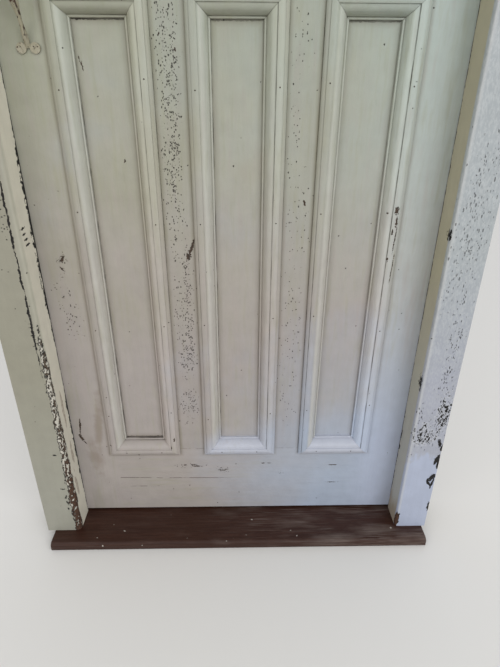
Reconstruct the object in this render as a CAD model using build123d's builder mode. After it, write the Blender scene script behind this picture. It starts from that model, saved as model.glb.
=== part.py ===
from build123d import *
import math
import os

# A front door leaf of three tall flat panels under three shorter ones, hung in its own rebated
# timber frame. X runs from the lock side to the hinge side, Y from outdoors to indoors, Z up.
# The origin is on the bed of the threshold, midway between the reveals, under the leaf's outer face.
# All sizes are in millimetres.

# Leaf
leaf_width = 813
leaf_height = 2032
leaf_thickness = 44
stile_width = 105
muntin_width = 89.5
bottom_rail_height = 196
lock_rail_height = 180
lock_rail_bottom = 1120.5
top_rail_height = 110

# Panels, and the grooves, tenons and wedges that hold the leaf together
panel_thickness = 12
groove_depth = 10
panel_play = 1.5
muntin_tenon = 30
tenon_margin = 16
double_tenon_gap = 28
wedge_length = 60
wedge_head = 6
joint_play = 0.1

# Mouldings round the panels
outer_cover = 25.7
outer_lap = 15
outer_rise = 12
inner_cover = 19
mitre_gap = 0.2

# Gaps round the closed leaf
hinge_gap = 1.5
lock_gap = 4.5
head_gap = 3
foot_gap = 7
stop_gap = 1

# Frame
rebate = 13
jamb_projection = 65
lock_jamb_face = 82
hinge_jamb_face = 76
head_face = 80
lock_arris = 11
hinge_arris = 9
jamb_tenon = 25
jamb_tenon_width = 40
jamb_tenon_thickness = 24
threshold_thickness = 22
threshold_projection = 43
threshold_nosing = 9
threshold_short_lock = 18
threshold_short_hinge = 8

# Butt hinges
hinge_height = 100
hinge_plate_width = 30
hinge_plate = 2.5
knuckle_radius = 5.5
knuckle_proud = 6
knuckle_count = 5
knuckle_gap = 0.3
hinge_pin_radius = 3
pin_clearance = 0.05
pin_head_radius = 4.6
pin_head_height = 4
top_hinge_drop = 180
middle_hinge_drop = 24.5
bottom_hinge_rise = 240

# Wood screws
screw_radius = 2
screw_head_radius = 4
screw_point = 4
screw_play = 0.05
hinge_screw_length = 28
hinge_screw_rows = (-36, 0, 36)
hinge_screw_near = 8
hinge_screw_far = 20

# Pull handle
handle_backset = 60.5
handle_height = 1050
handle_span = 200
handle_bow = 34
handle_rise = 75
handle_lobe_radius = 8.4
handle_lobe_spread = 11.2
handle_foot_thickness = 3.5
handle_screw_spread = 11.2
handle_screw_length = 17
handle_stem_radius = 3.2
handle_grip_radius = 7.5

# Rim latch
latch_backset = 60
latch_height = 1345
case_width = 92
case_height = 66
case_depth = 26
case_wall = 3
case_inset = 1
case_boss_radius = 5.5
case_boss_inset = 8
case_screw_length = 38
bolt_thickness = 12
bolt_height = 26
bolt_nose = 20
bolt_bevel = 8
bolt_play = 0.2
bolt_behind = 7
tail_plate = 4
tail_window = 9
cam_arm = 11.5
cam_angle = 35
cam_radius = 7
cam_thickness = 4
cam_gap = 1
cam_pin_radius = 2.3
cam_pin_play = 0.45
spindle_radius = 4
spindle_square = 5
knob_length = 30
knob_depth = 16
snib_offset = 36
snib_width = 8
snib_height = 7
snib_travel = 5
snib_seat = 0.3
spring_radius = 3.6
spring_wire = 0.6
spring_turns = 6
spring_length = 24
spring_seat = 0.3
keeper_gap = 3
keeper_reach = 28
keeper_flange = 18
keeper_height = 46
keeper_wall = 3
cylinder_radius = 15
cylinder_ring_radius = 18
cylinder_ring_depth = 7
plug_radius = 6.5
plug_drop = 3
keyway_width = 1.6
keyway_height = 8
tail_bar_width = 6
tail_bar_thickness = 1.5

# Places worked out from the sizes
outer_face = 0
inner_face = leaf_thickness
sight_width = leaf_width + hinge_gap + lock_gap - 2 * rebate
sight_left = -sight_width / 2
sight_right = sight_width / 2
rebate_left = sight_left - rebate
rebate_right = sight_right + rebate
leaf_left = rebate_left + lock_gap
leaf_right = leaf_left + leaf_width
leaf_bottom = threshold_thickness + foot_gap
leaf_top = leaf_bottom + leaf_height
frame_left = sight_left - lock_jamb_face
frame_right = sight_right + hinge_jamb_face
head_rebate = leaf_top + head_gap
head_sight = head_rebate - rebate
frame_top = head_sight + head_face
jamb_front = outer_face - jamb_projection
stop_face = outer_face - stop_gap
threshold_front = jamb_front - threshold_projection

recess = (leaf_thickness - panel_thickness) / 2
core = (outer_face + recess, inner_face - recess)
opening_width = (leaf_width - 2 * stile_width - 2 * muntin_width) / 3
column_left = {
    "lock_side": leaf_left + stile_width,
    "middle": leaf_left + stile_width + opening_width + muntin_width,
    "hinge_side": leaf_right - stile_width - opening_width,
}
bottom_rail = (leaf_bottom, leaf_bottom + bottom_rail_height)
lock_rail = (leaf_bottom + lock_rail_bottom, leaf_bottom + lock_rail_bottom + lock_rail_height)
top_rail = (leaf_top - top_rail_height, leaf_top)
rows = {"lower": (bottom_rail[1], lock_rail[0]), "upper": (lock_rail[1], top_rail[0])}

hinge_x = (leaf_right + rebate_right) / 2
hinge_y = inner_face + knuckle_proud
hinge_levels = {
    "top": leaf_top - top_hinge_drop,
    "middle": lock_rail[0] - middle_hinge_drop - hinge_height / 2,
    "bottom": leaf_bottom + bottom_hinge_rise,
}
handle_x = leaf_left + handle_backset
latch_x = leaf_left + latch_backset
latch_z = leaf_bottom + latch_height
cylinder_centre = (latch_x, latch_z + plug_drop)

os.makedirs("parts", exist_ok=True)


def save(builder, name):
    """Label a finished piece and write it to its own file."""
    builder.part.label = name
    export_step(builder.part, f"parts/{name}.step")


def block(x, y, z, mode=Mode.ADD):
    """A square-edged block between two limits along each axis."""
    with Locations((sum(x) / 2, sum(y) / 2, sum(z) / 2)):
        Box(abs(x[1] - x[0]), abs(y[1] - y[0]), abs(z[1] - z[0]), mode=mode)


def grown(limits, amount):
    """The same limits, each moved outwards."""
    return (limits[0] - amount, limits[1] + amount)


def about(middle, amount):
    """Limits the same amount each side of a middle."""
    return (middle - amount, middle + amount)


def round_up(centre, radius, z, mode=Mode.ADD):
    """A round bar along Z, its centre given in X and Y."""
    with Locations((centre[0], centre[1], sum(z) / 2)):
        Cylinder(radius, z[1] - z[0], mode=mode)


def round_in(centre, radius, y, mode=Mode.ADD):
    """A round bar along Y, its centre given in X and Z."""
    with Locations(Location((centre[0], sum(y) / 2, centre[1]), (90, 0, 0))):
        Cylinder(radius, y[1] - y[0], mode=mode)


def outline(plane, corners):
    """A flat shape with straight sides."""
    with BuildSketch(plane) as shape:
        with BuildLine():
            Polyline(*corners, close=True)
        make_face()
    return shape.sketch


# Wood screws, each made with its head's flat at the origin and its point down -Z

def make_screw(length, play=0):
    with BuildPart() as screw:
        corners = [
            (0, 0),
            (screw_head_radius + play, 0),
            (screw_radius + play, -(screw_head_radius - screw_radius)),
            (screw_radius + play, screw_point - length),
            (0, -length - play),
        ]
        revolve(outline(Plane.XZ, corners), axis=Axis.Z)
    return screw.part


def facing(direction):
    """The turn that points a screw's head along +X, -X, +Y or -Y."""
    return {"+X": (0, 90, 0), "-X": (0, -90, 0), "+Y": (-90, 0, 0), "-Y": (90, 0, 0)}[direction]


def drive(length, points, direction, mode=Mode.ADD):
    """Screws at some points, or the holes that take them."""
    play = screw_play if mode == Mode.SUBTRACT else 0
    shape = make_screw(length, play)
    with Locations(*[Location(point, facing(direction)) for point in points]):
        add(shape, mode=mode)


def hinge_screw_points(x):
    """Three screws in each plate, the middle one nearer the knuckle."""
    points = []
    for level in hinge_levels.values():
        for row in hinge_screw_rows:
            from_edge = hinge_screw_far if row else hinge_screw_near
            points.append((x, inner_face - from_edge, level + row))
    return points


leaf_screw_points = hinge_screw_points(leaf_right)
jamb_screw_points = hinge_screw_points(rebate_right)
handle_levels = (leaf_bottom + handle_height, leaf_bottom + handle_height + handle_span)
handle_screw_points = [
    (handle_x + side * handle_screw_spread, outer_face - handle_foot_thickness, level)
    for level in handle_levels
    for side in (-1, 1)
]
case_left = leaf_left + case_inset
case_right = case_left + case_width
case_front = inner_face + case_depth
case_z = (latch_z - case_height / 2, latch_z + case_height / 2)
case_screw_points = [
    (x, case_front, z)
    for x in (case_left + case_boss_inset, case_right - case_boss_inset)
    for z in (case_z[0] + case_boss_inset, case_z[1] - case_boss_inset)
]
keeper_right = leaf_left - keeper_gap
keeper_left = keeper_right - keeper_reach
keeper_screw_points = [
    (keeper_left - keeper_flange / 2, inner_face + keeper_wall, latch_z + side * keeper_height / 4)
    for side in (-1, 1)
]


# Frame

def jamb_section(sight, outer, arris):
    """The plan of a rebated jamb, with a worn round where its front meets the reveal."""
    away = math.copysign(1, outer)
    shoulder = sight + away * rebate
    with BuildSketch(Plane.XY.offset(threshold_thickness)) as plan:
        with BuildLine():
            Polyline(
                (sight + away * arris, jamb_front),
                (outer, jamb_front),
                (outer, inner_face),
                (shoulder, inner_face),
                (shoulder, stop_face),
                (sight, stop_face),
                (sight, jamb_front + arris),
            )
            RadiusArc((sight, jamb_front + arris), (sight + away * arris, jamb_front), away * arris)
        make_face()
    return plan.sketch


def jamb_solid(sight, outer, arris):
    """A jamb from threshold to head, scribed over the head's rebate and tenoned into the head."""
    extrude(jamb_section(sight, outer, arris), amount=head_rebate - threshold_thickness)
    across = grown((min(sight, outer), max(sight, outer)), 1)
    block(across, (jamb_front - 1, stop_face), (head_sight, head_rebate + 1), Mode.SUBTRACT)
    jamb_tenon_block(sight, outer, 0)


def jamb_tenon_block(sight, outer, play, mode=Mode.ADD):
    """The tenon on a jamb's head end, or the mortise for it."""
    middle = (sight + outer) / 2
    depth = (jamb_front + stop_face) / 2
    block(
        about(middle, jamb_tenon_width / 2 + play),
        about(depth, jamb_tenon_thickness / 2 + play),
        (head_sight - (1 if play else 0), head_sight + jamb_tenon + play),
        mode,
    )


def hinge_recesses(x):
    """Housings for the hinge plates, cut from the edge at x towards the middle of the timber."""
    for level in hinge_levels.values():
        block(
            x,
            (inner_face - hinge_plate_width, inner_face + 1),
            (level - hinge_height / 2, level + hinge_height / 2),
            Mode.SUBTRACT,
        )


with BuildPart() as lock_jamb:
    jamb_solid(sight_left, frame_left, lock_arris)
    drive(hinge_screw_length, keeper_screw_points, "+Y", Mode.SUBTRACT)
save(lock_jamb, "lock_jamb")

with BuildPart() as hinge_jamb:
    jamb_solid(sight_right, frame_right, hinge_arris)
    hinge_recesses((rebate_right - 1, rebate_right + hinge_plate))
    drive(hinge_screw_length, jamb_screw_points, "-X", Mode.SUBTRACT)
save(hinge_jamb, "hinge_jamb")

with BuildPart() as head_jamb:
    block((frame_left, frame_right), (jamb_front, stop_face), (head_sight, frame_top))
    block((frame_left, frame_right), (stop_face, inner_face), (head_rebate, frame_top))
    with BuildSketch(Plane.YZ.offset(sight_left)):
        with BuildLine():
            Polyline(
                (jamb_front + hinge_arris, head_sight),
                (jamb_front, head_sight),
                (jamb_front, head_sight + hinge_arris),
            )
            RadiusArc(
                (jamb_front, head_sight + hinge_arris), (jamb_front + hinge_arris, head_sight), -hinge_arris
            )
        make_face()
    extrude(amount=sight_width, mode=Mode.SUBTRACT)
    jamb_tenon_block(sight_left, frame_left, joint_play, Mode.SUBTRACT)
    jamb_tenon_block(sight_right, frame_right, joint_play, Mode.SUBTRACT)
save(head_jamb, "head_jamb")

threshold_ends = (frame_left + threshold_short_lock, frame_right - threshold_short_hinge)
with BuildPart() as threshold:
    block(threshold_ends, (threshold_front, inner_face), (0, threshold_thickness))
    front_edges = threshold.edges().filter_by(Axis.X).group_by(Axis.Y)[0].sort_by(Axis.Z)
    fillet(front_edges[-1], radius=threshold_nosing)
    fillet(threshold.edges().filter_by(Axis.X).group_by(Axis.Y)[0].sort_by(Axis.Z)[0], radius=3)
save(threshold, "threshold")


# Leaf frame

def tenon_levels(rail, pair=True):
    """The height limits of the tenons on a rail's end."""
    low = rail[0] + tenon_margin
    high = rail[1] - tenon_margin
    middle = (low + high) / 2
    if not pair:
        return [(low, high)]
    return [(low, middle - double_tenon_gap / 2), (middle + double_tenon_gap / 2, high)]


tenons = (
    tenon_levels(bottom_rail) + tenon_levels(lock_rail) + tenon_levels(top_rail, pair=False)
)


def wedge(level, side, outer_edge, inwards, mode=Mode.ADD):
    """A wedge above or below a tenon, thick at the stile's outer edge."""
    edge = level[1] if side > 0 else level[0]
    tip = outer_edge + inwards * wedge_length
    corners = [(tip, edge), (outer_edge, edge), (outer_edge, edge + side * wedge_head)]
    extrude(outline(Plane.XZ.offset(-core[1]), corners), amount=core[1] - core[0], mode=mode)


def stile_solid(outer_edge, inwards):
    """A stile with its panel groove, and a flared mortise through it for each rail tenon."""
    inner_edge = outer_edge + inwards * stile_width
    across = sorted((outer_edge, inner_edge))
    block(across, (outer_face, inner_face), (leaf_bottom, leaf_top))
    groove = sorted((inner_edge, inner_edge - inwards * groove_depth))
    block(groove, core, grown((leaf_bottom, leaf_top), 1), Mode.SUBTRACT)
    for level in tenons:
        block(across, core, level, Mode.SUBTRACT)
        for side in (-1, 1):
            wedge(level, side, outer_edge, inwards, Mode.SUBTRACT)


with BuildPart() as lock_stile:
    stile_solid(leaf_left, 1)
    drive(handle_screw_length, handle_screw_points, "-Y", Mode.SUBTRACT)
    drive(case_screw_length, case_screw_points, "+Y", Mode.SUBTRACT)
    through_stile = grown((outer_face, inner_face), 1)
    round_in(cylinder_centre, cylinder_radius + screw_play, through_stile, Mode.SUBTRACT)
save(lock_stile, "lock_stile")

with BuildPart() as hinge_stile:
    stile_solid(leaf_right, -1)
    hinge_recesses((leaf_right - hinge_plate, leaf_right + 1))
    drive(hinge_screw_length, leaf_screw_points, "+X", Mode.SUBTRACT)
save(hinge_stile, "hinge_stile")

with BuildPart() as tenon_wedges:
    for outer_edge, inwards in ((leaf_left, 1), (leaf_right, -1)):
        for level in tenons:
            for side in (-1, 1):
                wedge(level, side, outer_edge, inwards)
save(tenon_wedges, "tenon_wedges")

shoulders = (leaf_left + stile_width, leaf_right - stile_width)
muntin_lefts = {
    "lock_side": column_left["lock_side"] + opening_width,
    "hinge_side": column_left["middle"] + opening_width,
}


def muntin_tongue(left):
    """The part of a muntin left between its two grooves."""
    return (left + groove_depth, left + muntin_width - groove_depth)


def rail_solid(rail, levels, grooves):
    """A rail with haunched tenons, grooved and mortised on the edges that face panels."""
    block(shoulders, (outer_face, inner_face), rail)
    block(grown(shoulders, groove_depth), core, rail)
    for level in levels:
        block((leaf_left, leaf_right), core, level)
    for edge, into in grooves:
        groove = sorted((edge, edge + into * groove_depth))
        block((leaf_left, leaf_right), core, groove, Mode.SUBTRACT)
        mortise = sorted((edge, edge + into * (muntin_tenon + joint_play)))
        for left in muntin_lefts.values():
            block(muntin_tongue(left), core, mortise, Mode.SUBTRACT)


with BuildPart() as bottom_rail_piece:
    rail_solid(bottom_rail, tenon_levels(bottom_rail), [(bottom_rail[1], -1)])
save(bottom_rail_piece, "bottom_rail")

with BuildPart() as lock_rail_piece:
    rail_solid(lock_rail, tenon_levels(lock_rail), [(lock_rail[0], 1), (lock_rail[1], -1)])
save(lock_rail_piece, "lock_rail")

with BuildPart() as top_rail_piece:
    rail_solid(top_rail, tenon_levels(top_rail, pair=False), [(top_rail[0], 1)])
save(top_rail_piece, "top_rail")

for row, height in rows.items():
    for column, left in muntin_lefts.items():
        with BuildPart() as muntin:
            block((left, left + muntin_width), (outer_face, inner_face), height)
            block(muntin_tongue(left), core, grown(height, muntin_tenon))
            for edge, into in ((left, 1), (left + muntin_width, -1)):
                groove = sorted((edge, edge + into * groove_depth))
                block(groove, core, grown(height, 1), Mode.SUBTRACT)
        save(muntin, f"{row}_{column}_muntin")

# Panels, held in the grooves with a little room to move
panel_edge = groove_depth - panel_play
for row, height in rows.items():
    for column, left in column_left.items():
        with BuildPart() as panel:
            block(grown((left, left + opening_width), panel_edge), core, grown(height, panel_edge))
        save(panel, f"{row}_{column}_panel")


# Mouldings: four mitred lengths round each panel. A section lies in X and Y, with X from the
# opening's edge towards the panel's middle, and is run along Z.

def outer_section(plane):
    """A raised moulding: bead, ovolo, flat round and outer round, lapped over the leaf's face."""
    lip = outer_face - outer_rise
    edge = outer_cover
    bead = core[0] - 5.4
    hollow = (edge - 4.2, bead - 0.3)
    arris = (4.4, lip + 3.8)
    steepest = math.radians(22)

    def on_ovolo(degrees):
        """A point on the ovolo, an oval that is steepest beside the bead and level at 90 degrees."""
        turn = math.radians(degrees)
        across = math.cos(turn) / math.cos(steepest)
        rise = (math.sin(turn) - math.sin(steepest)) / (1 - math.sin(steepest))
        return (
            arris[0] + (hollow[0] - arris[0]) * across,
            hollow[1] - (hollow[1] - arris[1]) * rise,
        )

    with BuildSketch(plane) as face:
        with BuildLine():
            Line((edge, core[0]), (edge, bead))
            ThreePointArc((edge, bead), (edge - 2, bead - 1.4), hollow)
            ThreePointArc(hollow, on_ovolo(39), on_ovolo(56))
            ThreePointArc(on_ovolo(56), on_ovolo(73), arris)
            Line(arris, (3.9, lip + 1.3))
            ThreePointArc((3.9, lip + 1.3), (-2.2, lip), (-7.9, lip + 1.5))
            Line((-7.9, lip + 1.5), (-8.4, lip + 3.4))
            ThreePointArc((-8.4, lip + 3.4), (-12.2, lip + 4.5), (-outer_lap, lip + 7.2))
            Line((-outer_lap, lip + 7.2), (-outer_lap, outer_face))
            Line((-outer_lap, outer_face), (0, outer_face))
            Line((0, outer_face), (0, core[0]))
            Line((0, core[0]), (edge, core[0]))
        make_face()
    return face.sketch


def inner_section(plane):
    """A plain quarter-round moulding that finishes flush with the leaf's inner face."""
    with BuildSketch(plane) as face:
        with BuildLine():
            Line((0, core[1]), (inner_cover, core[1]))
            Line((inner_cover, core[1]), (inner_cover, core[1] + 3))
            ThreePointArc((inner_cover, core[1] + 3), (15, inner_face - 5), (4, inner_face - 2))
            Line((4, inner_face - 2), (4, inner_face))
            Line((4, inner_face), (0, inner_face))
            Line((0, inner_face), (0, core[1]))
        make_face()
    return face.sketch


def mitred_length(section, run, lap):
    """One length of moulding along Z, cut at 45 degrees at each end with a hairline gap."""
    half_gap = mitre_gap / math.sqrt(2)
    with BuildPart() as length:
        extrude(section(Plane.XY.offset(-lap - 1)), amount=run + 2 * lap + 2)
        split(bisect_by=Plane(origin=(0, 0, half_gap), z_dir=(-1, 0, 1)), keep=Keep.TOP)
        split(bisect_by=Plane(origin=(0, 0, run - half_gap), z_dir=(-1, 0, -1)), keep=Keep.TOP)
    return length.part


def save_moulding(section, lap, left, height, name):
    """Four lengths round one opening, each turned about Y to its own edge."""
    right = left + opening_width
    upright = mitred_length(section, height[1] - height[0], lap)
    level = mitred_length(section, opening_width, lap)
    with BuildPart() as moulding:
        with Locations(Location((left, 0, height[0])), Location((right, 0, height[1]), (0, 180, 0))):
            add(upright)
        with Locations(
            Location((left, 0, height[1]), (0, 90, 0)), Location((right, 0, height[0]), (0, -90, 0))
        ):
            add(level)
    save(moulding, name)


for row, height in rows.items():
    for column, left in column_left.items():
        save_moulding(outer_section, outer_lap, left, height, f"{row}_{column}_outer_moulding")
        save_moulding(inner_section, 0, left, height, f"{row}_{column}_inner_moulding")


# Butt hinges

def knuckles(level, first):
    """Height limits of every other knuckle on a pin, from the lowest or the one above it."""
    pitch = (hinge_height + knuckle_gap) / knuckle_count
    bottom = level - hinge_height / 2
    return [(bottom + i * pitch, bottom + (i + 1) * pitch - knuckle_gap) for i in range(first, knuckle_count, 2)]


def hinge_plate_solid(x, level, first):
    """A plate let into the timber, rolled round the pin at its own knuckles."""
    height = (level - hinge_height / 2, level + hinge_height / 2)
    block(x, (inner_face - hinge_plate_width, inner_face), height)
    for knuckle in knuckles(level, first):
        block(x, (inner_face, hinge_y), knuckle)
        round_up((hinge_x, hinge_y), knuckle_radius, knuckle)
    round_up((hinge_x, hinge_y), hinge_pin_radius + pin_clearance, grown(height, 1), Mode.SUBTRACT)


for place, level in hinge_levels.items():
    with BuildPart() as jamb_plate:
        hinge_plate_solid((rebate_right, rebate_right + hinge_plate), level, 0)
        drive(hinge_screw_length, jamb_screw_points, "-X", Mode.SUBTRACT)
    save(jamb_plate, f"{place}_hinge_jamb_plate")

    with BuildPart() as leaf_plate:
        hinge_plate_solid((leaf_right - hinge_plate, leaf_right), level, 1)
        drive(hinge_screw_length, leaf_screw_points, "+X", Mode.SUBTRACT)
    save(leaf_plate, f"{place}_hinge_leaf_plate")

    with BuildPart() as hinge_pin:
        top = level + hinge_height / 2
        round_up((hinge_x, hinge_y), hinge_pin_radius, about(level, hinge_height / 2))
        round_up((hinge_x, hinge_y), pin_head_radius, (top, top + pin_head_height))
        fillet(hinge_pin.edges().group_by(Axis.Z)[-1], radius=pin_head_height / 2)
    save(hinge_pin, f"{place}_hinge_pin")

with BuildPart() as hinge_jamb_screws:
    drive(hinge_screw_length, jamb_screw_points, "-X")
save(hinge_jamb_screws, "hinge_jamb_screws")

with BuildPart() as hinge_leaf_screws:
    drive(hinge_screw_length, leaf_screw_points, "+X")
save(hinge_leaf_screws, "hinge_leaf_screws")


# Pull handle: two lobed feet and a grip bowed out between them

def handle_station(distance, across, deep, from_top):
    """An oval section square to the handle's line, at a distance along Z from one of its feet."""
    slope = math.atan2(handle_bow, handle_rise)
    out = handle_bow * min(distance / handle_rise, 1)
    lean = slope if distance < handle_rise else 0
    if distance == handle_rise:
        lean = slope / 2
    height = handle_levels[1] - distance if from_top else handle_levels[0] + distance
    lean = -lean if from_top else lean
    plane = Plane(
        origin=(handle_x, outer_face - 1 - out, height),
        x_dir=(1, 0, 0),
        z_dir=(0, -math.sin(lean), math.cos(lean)),
    )
    with BuildSketch(plane) as station:
        Ellipse(across, deep)
    return station.sketch


stem_sections = (
    (1, 5.2, 3),
    (12, 4.7, 3.8),
    (26, handle_stem_radius + 0.6, handle_stem_radius + 0.6),
    (41, handle_stem_radius, handle_stem_radius),
    (54, handle_grip_radius - 2.4, handle_grip_radius - 2.4),
    (handle_rise, handle_grip_radius - 0.6, handle_grip_radius - 0.6),
)
handle_stations = [handle_station(*section, False) for section in stem_sections]
handle_stations.append(handle_station(handle_span / 2, handle_grip_radius, handle_grip_radius, False))
handle_stations += [handle_station(*section, True) for section in reversed(stem_sections)]

with BuildPart() as pull_handle:
    loft(handle_stations)
    for level in handle_levels:
        for side in (-1, 1):
            lobe = (handle_x + side * handle_lobe_spread, level)
            round_in(lobe, handle_lobe_radius, (outer_face - handle_foot_thickness, outer_face))
    block(
        (handle_x - 40, handle_x + 40),
        (outer_face, outer_face + 20),
        grown(handle_levels, 40),
        Mode.SUBTRACT,
    )
    drive(handle_screw_length, handle_screw_points, "-Y", Mode.SUBTRACT)
save(pull_handle, "pull_handle")

with BuildPart() as pull_handle_screws:
    drive(handle_screw_length, handle_screw_points, "-Y")
save(pull_handle_screws, "pull_handle_screws")


# Rim latch: case on the leaf's inner face, sliding bolt, cam and knob, snib, spring, keeper

bolt_y = (inner_face + bolt_behind, inner_face + bolt_behind + bolt_thickness)
bolt_z = (latch_z - bolt_height / 2, latch_z + bolt_height / 2)
nose_x = (case_left, case_left + bolt_nose)
tail_y = (bolt_y[0], bolt_y[0] + tail_plate)
cam_y = (tail_y[1] + cam_gap, tail_y[1] + cam_gap + cam_thickness)
cam_swing = math.radians(cam_angle)
latch_throw = 2 * cam_arm * math.sin(cam_swing)
pin_x = latch_x + cam_arm * math.sin(cam_swing)
pin_z = latch_z - cam_arm * math.cos(cam_swing)
snib_x = case_left + snib_offset
snib_bottom = bolt_z[1] + snib_seat
snib_back = tail_y[0] + snib_seat
post_x = nose_x[1] + spring_length + 2 * spring_seat
spring_y = (tail_y[1] + bolt_y[1]) / 2
tail_right = latch_x + latch_throw + tail_window
case_inside = (
    (case_left + case_wall, case_right - case_wall),
    (inner_face, case_front - case_wall),
    (case_z[0] + case_wall, case_z[1] - case_wall),
)

with BuildPart() as latch_case:
    block((case_left, case_right), (inner_face, case_front), case_z)
    outside = latch_case.edges().filter_by(Axis.Y)
    fillet(outside, radius=4)
    fillet(latch_case.faces().sort_by(Axis.Y)[-1].edges(), radius=2)
    block(*case_inside, Mode.SUBTRACT)
    for x, _, z in case_screw_points:
        round_in((x, z), case_boss_radius, (inner_face, case_front - case_wall))
    block(
        (post_x, post_x + case_wall),
        (tail_y[1] + cam_gap / 2, case_front - case_wall),
        (latch_z - spring_radius, latch_z + spring_radius),
    )
    block(
        (case_left - 1, case_left + case_wall + 1),
        grown(bolt_y, bolt_play),
        grown(bolt_z, bolt_play),
        Mode.SUBTRACT,
    )
    block(
        about(snib_x, snib_width / 4 + bolt_play),
        (case_front - case_wall - 1, case_front + 1),
        (snib_bottom - snib_travel - bolt_play, snib_bottom + snib_height + bolt_play),
        Mode.SUBTRACT,
    )
    front_wall = (case_front - case_wall - 1, case_front + 1)
    round_in((latch_x, latch_z), spindle_radius + pin_clearance, front_wall, Mode.SUBTRACT)
    drive(case_screw_length, case_screw_points, "+Y", Mode.SUBTRACT)
save(latch_case, "latch_case")

with BuildPart() as latch_case_screws:
    drive(case_screw_length, case_screw_points, "+Y")
save(latch_case_screws, "latch_case_screws")

with BuildPart() as latch_bolt:
    block(nose_x, bolt_y, bolt_z)
    bevelled = latch_bolt.edges().filter_by(Axis.Z).group_by(Axis.X)[0].sort_by(Axis.Y)[0]
    chamfer(bevelled, length=bolt_bevel)
    block((nose_x[1], tail_right), tail_y, bolt_z)
    reach = cam_pin_radius + cam_pin_play
    block(about(pin_x, reach), grown(tail_y, 1), (bolt_z[0] - 1, pin_z + reach), Mode.SUBTRACT)
    notch_z = (bolt_z[1] - snib_travel - snib_seat, bolt_z[1] + 1)
    for notch_x in (snib_x, snib_x + latch_throw):
        notch = about(notch_x, snib_width / 2 + snib_seat)
        block(notch, grown(tail_y, 1), notch_z, Mode.SUBTRACT)
save(latch_bolt, "latch_bolt")

with BuildPart() as latch_cam:
    with BuildSketch(Plane.XZ.offset(-cam_y[1])):
        with Locations((latch_x, latch_z)):
            Circle(cam_radius)
        with Locations((pin_x, pin_z)):
            Circle(cam_pin_radius + 1.2)
        with Locations(((latch_x + pin_x) / 2, (latch_z + pin_z) / 2)):
            Rectangle(2 * cam_pin_radius + 2.4, cam_arm, rotation=cam_angle)
        with Locations((latch_x, latch_z)):
            Rectangle(spindle_square + joint_play, spindle_square + joint_play, mode=Mode.SUBTRACT)
    extrude(amount=cam_thickness)
    round_in((pin_x, pin_z), cam_pin_radius, (tail_y[0], cam_y[0]))
save(latch_cam, "latch_cam")

knob_seat = case_front + snib_seat
with BuildPart() as turn_knob:
    square = spindle_square / 2
    block(about(latch_x, square), cam_y, about(latch_z, square))
    round_in((latch_x, latch_z), spindle_radius, (cam_y[1], knob_seat + 4))
    round_in((latch_x, latch_z), spindle_radius + 4, (knob_seat, knob_seat + 4))
    with BuildSketch(Plane.XZ.offset(-knob_seat - knob_depth)):
        with Locations((latch_x, latch_z)):
            SlotOverall(knob_length, 2 * spindle_radius, rotation=90)
    extrude(amount=knob_depth - 4)
    fillet(turn_knob.faces().sort_by(Axis.Y)[-1].edges(), radius=1.5)
save(turn_knob, "turn_knob")

with BuildPart() as latch_snib:
    block(
        about(snib_x, snib_width / 2),
        (snib_back, case_front - case_wall - snib_seat),
        (snib_bottom, snib_bottom + snib_height),
    )
    block(
        about(snib_x, snib_width / 4),
        (case_front - case_wall - snib_seat, case_front + snib_seat),
        (snib_bottom, snib_bottom + snib_height),
    )
    block(
        about(snib_x, snib_width / 2),
        (case_front + snib_seat, case_front + snib_seat + 5),
        (snib_bottom, snib_bottom + snib_height),
    )
    fillet(latch_snib.faces().sort_by(Axis.Y)[-1].edges(), radius=1.2)
save(latch_snib, "latch_snib")

with BuildPart() as latch_spring:
    coil_length = spring_length - 2 * spring_wire
    with BuildLine():
        coil = Helix(
            pitch=coil_length / spring_turns,
            height=coil_length,
            radius=spring_radius - spring_wire,
            center=(nose_x[1] + spring_seat + spring_wire, spring_y, latch_z),
            direction=(1, 0, 0),
        )
    with BuildSketch(Plane(origin=coil @ 0, z_dir=coil % 0)):
        Circle(spring_wire)
    sweep(is_frenet=True)
save(latch_spring, "latch_spring")

pocket_y = (inner_face, bolt_y[1] + 2)
keeper_y = (inner_face, pocket_y[1] + keeper_wall)
keeper_z = about(latch_z, keeper_height / 2)
with BuildPart() as latch_keeper:
    block((keeper_left, keeper_right), keeper_y, keeper_z)
    fillet(latch_keeper.faces().sort_by(Axis.Y)[-1].edges(), radius=2)
    flange_x = (keeper_left - keeper_flange, keeper_left + 1)
    block(flange_x, (inner_face, inner_face + keeper_wall), keeper_z)
    pocket_x = (keeper_left + keeper_wall, keeper_right + 1)
    block(pocket_x, (inner_face - 1, pocket_y[1]), grown(keeper_z, -keeper_wall), Mode.SUBTRACT)
    drive(hinge_screw_length, keeper_screw_points, "+Y", Mode.SUBTRACT)
save(latch_keeper, "latch_keeper")

with BuildPart() as latch_keeper_screws:
    drive(hinge_screw_length, keeper_screw_points, "+Y")
save(latch_keeper_screws, "latch_keeper_screws")

# Cylinder in the lock stile, its plug in line with the cam and its body a little above

cylinder_y = (outer_face - cylinder_ring_depth + 1, inner_face - 6)
with BuildPart() as cylinder_ring:
    ring_y = (outer_face - cylinder_ring_depth, outer_face)
    round_in(cylinder_centre, cylinder_ring_radius, ring_y)
    fillet(cylinder_ring.edges().filter_by(GeomType.CIRCLE).sort_by(Axis.Y)[0], radius=2.5)
    round_in(cylinder_centre, cylinder_radius + screw_play, grown(ring_y, 1), Mode.SUBTRACT)
save(cylinder_ring, "cylinder_ring")

with BuildPart() as latch_cylinder:
    round_in(cylinder_centre, cylinder_radius, cylinder_y)
    round_in((latch_x, latch_z), plug_radius + pin_clearance, grown(cylinder_y, 1), Mode.SUBTRACT)
save(latch_cylinder, "latch_cylinder")

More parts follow.
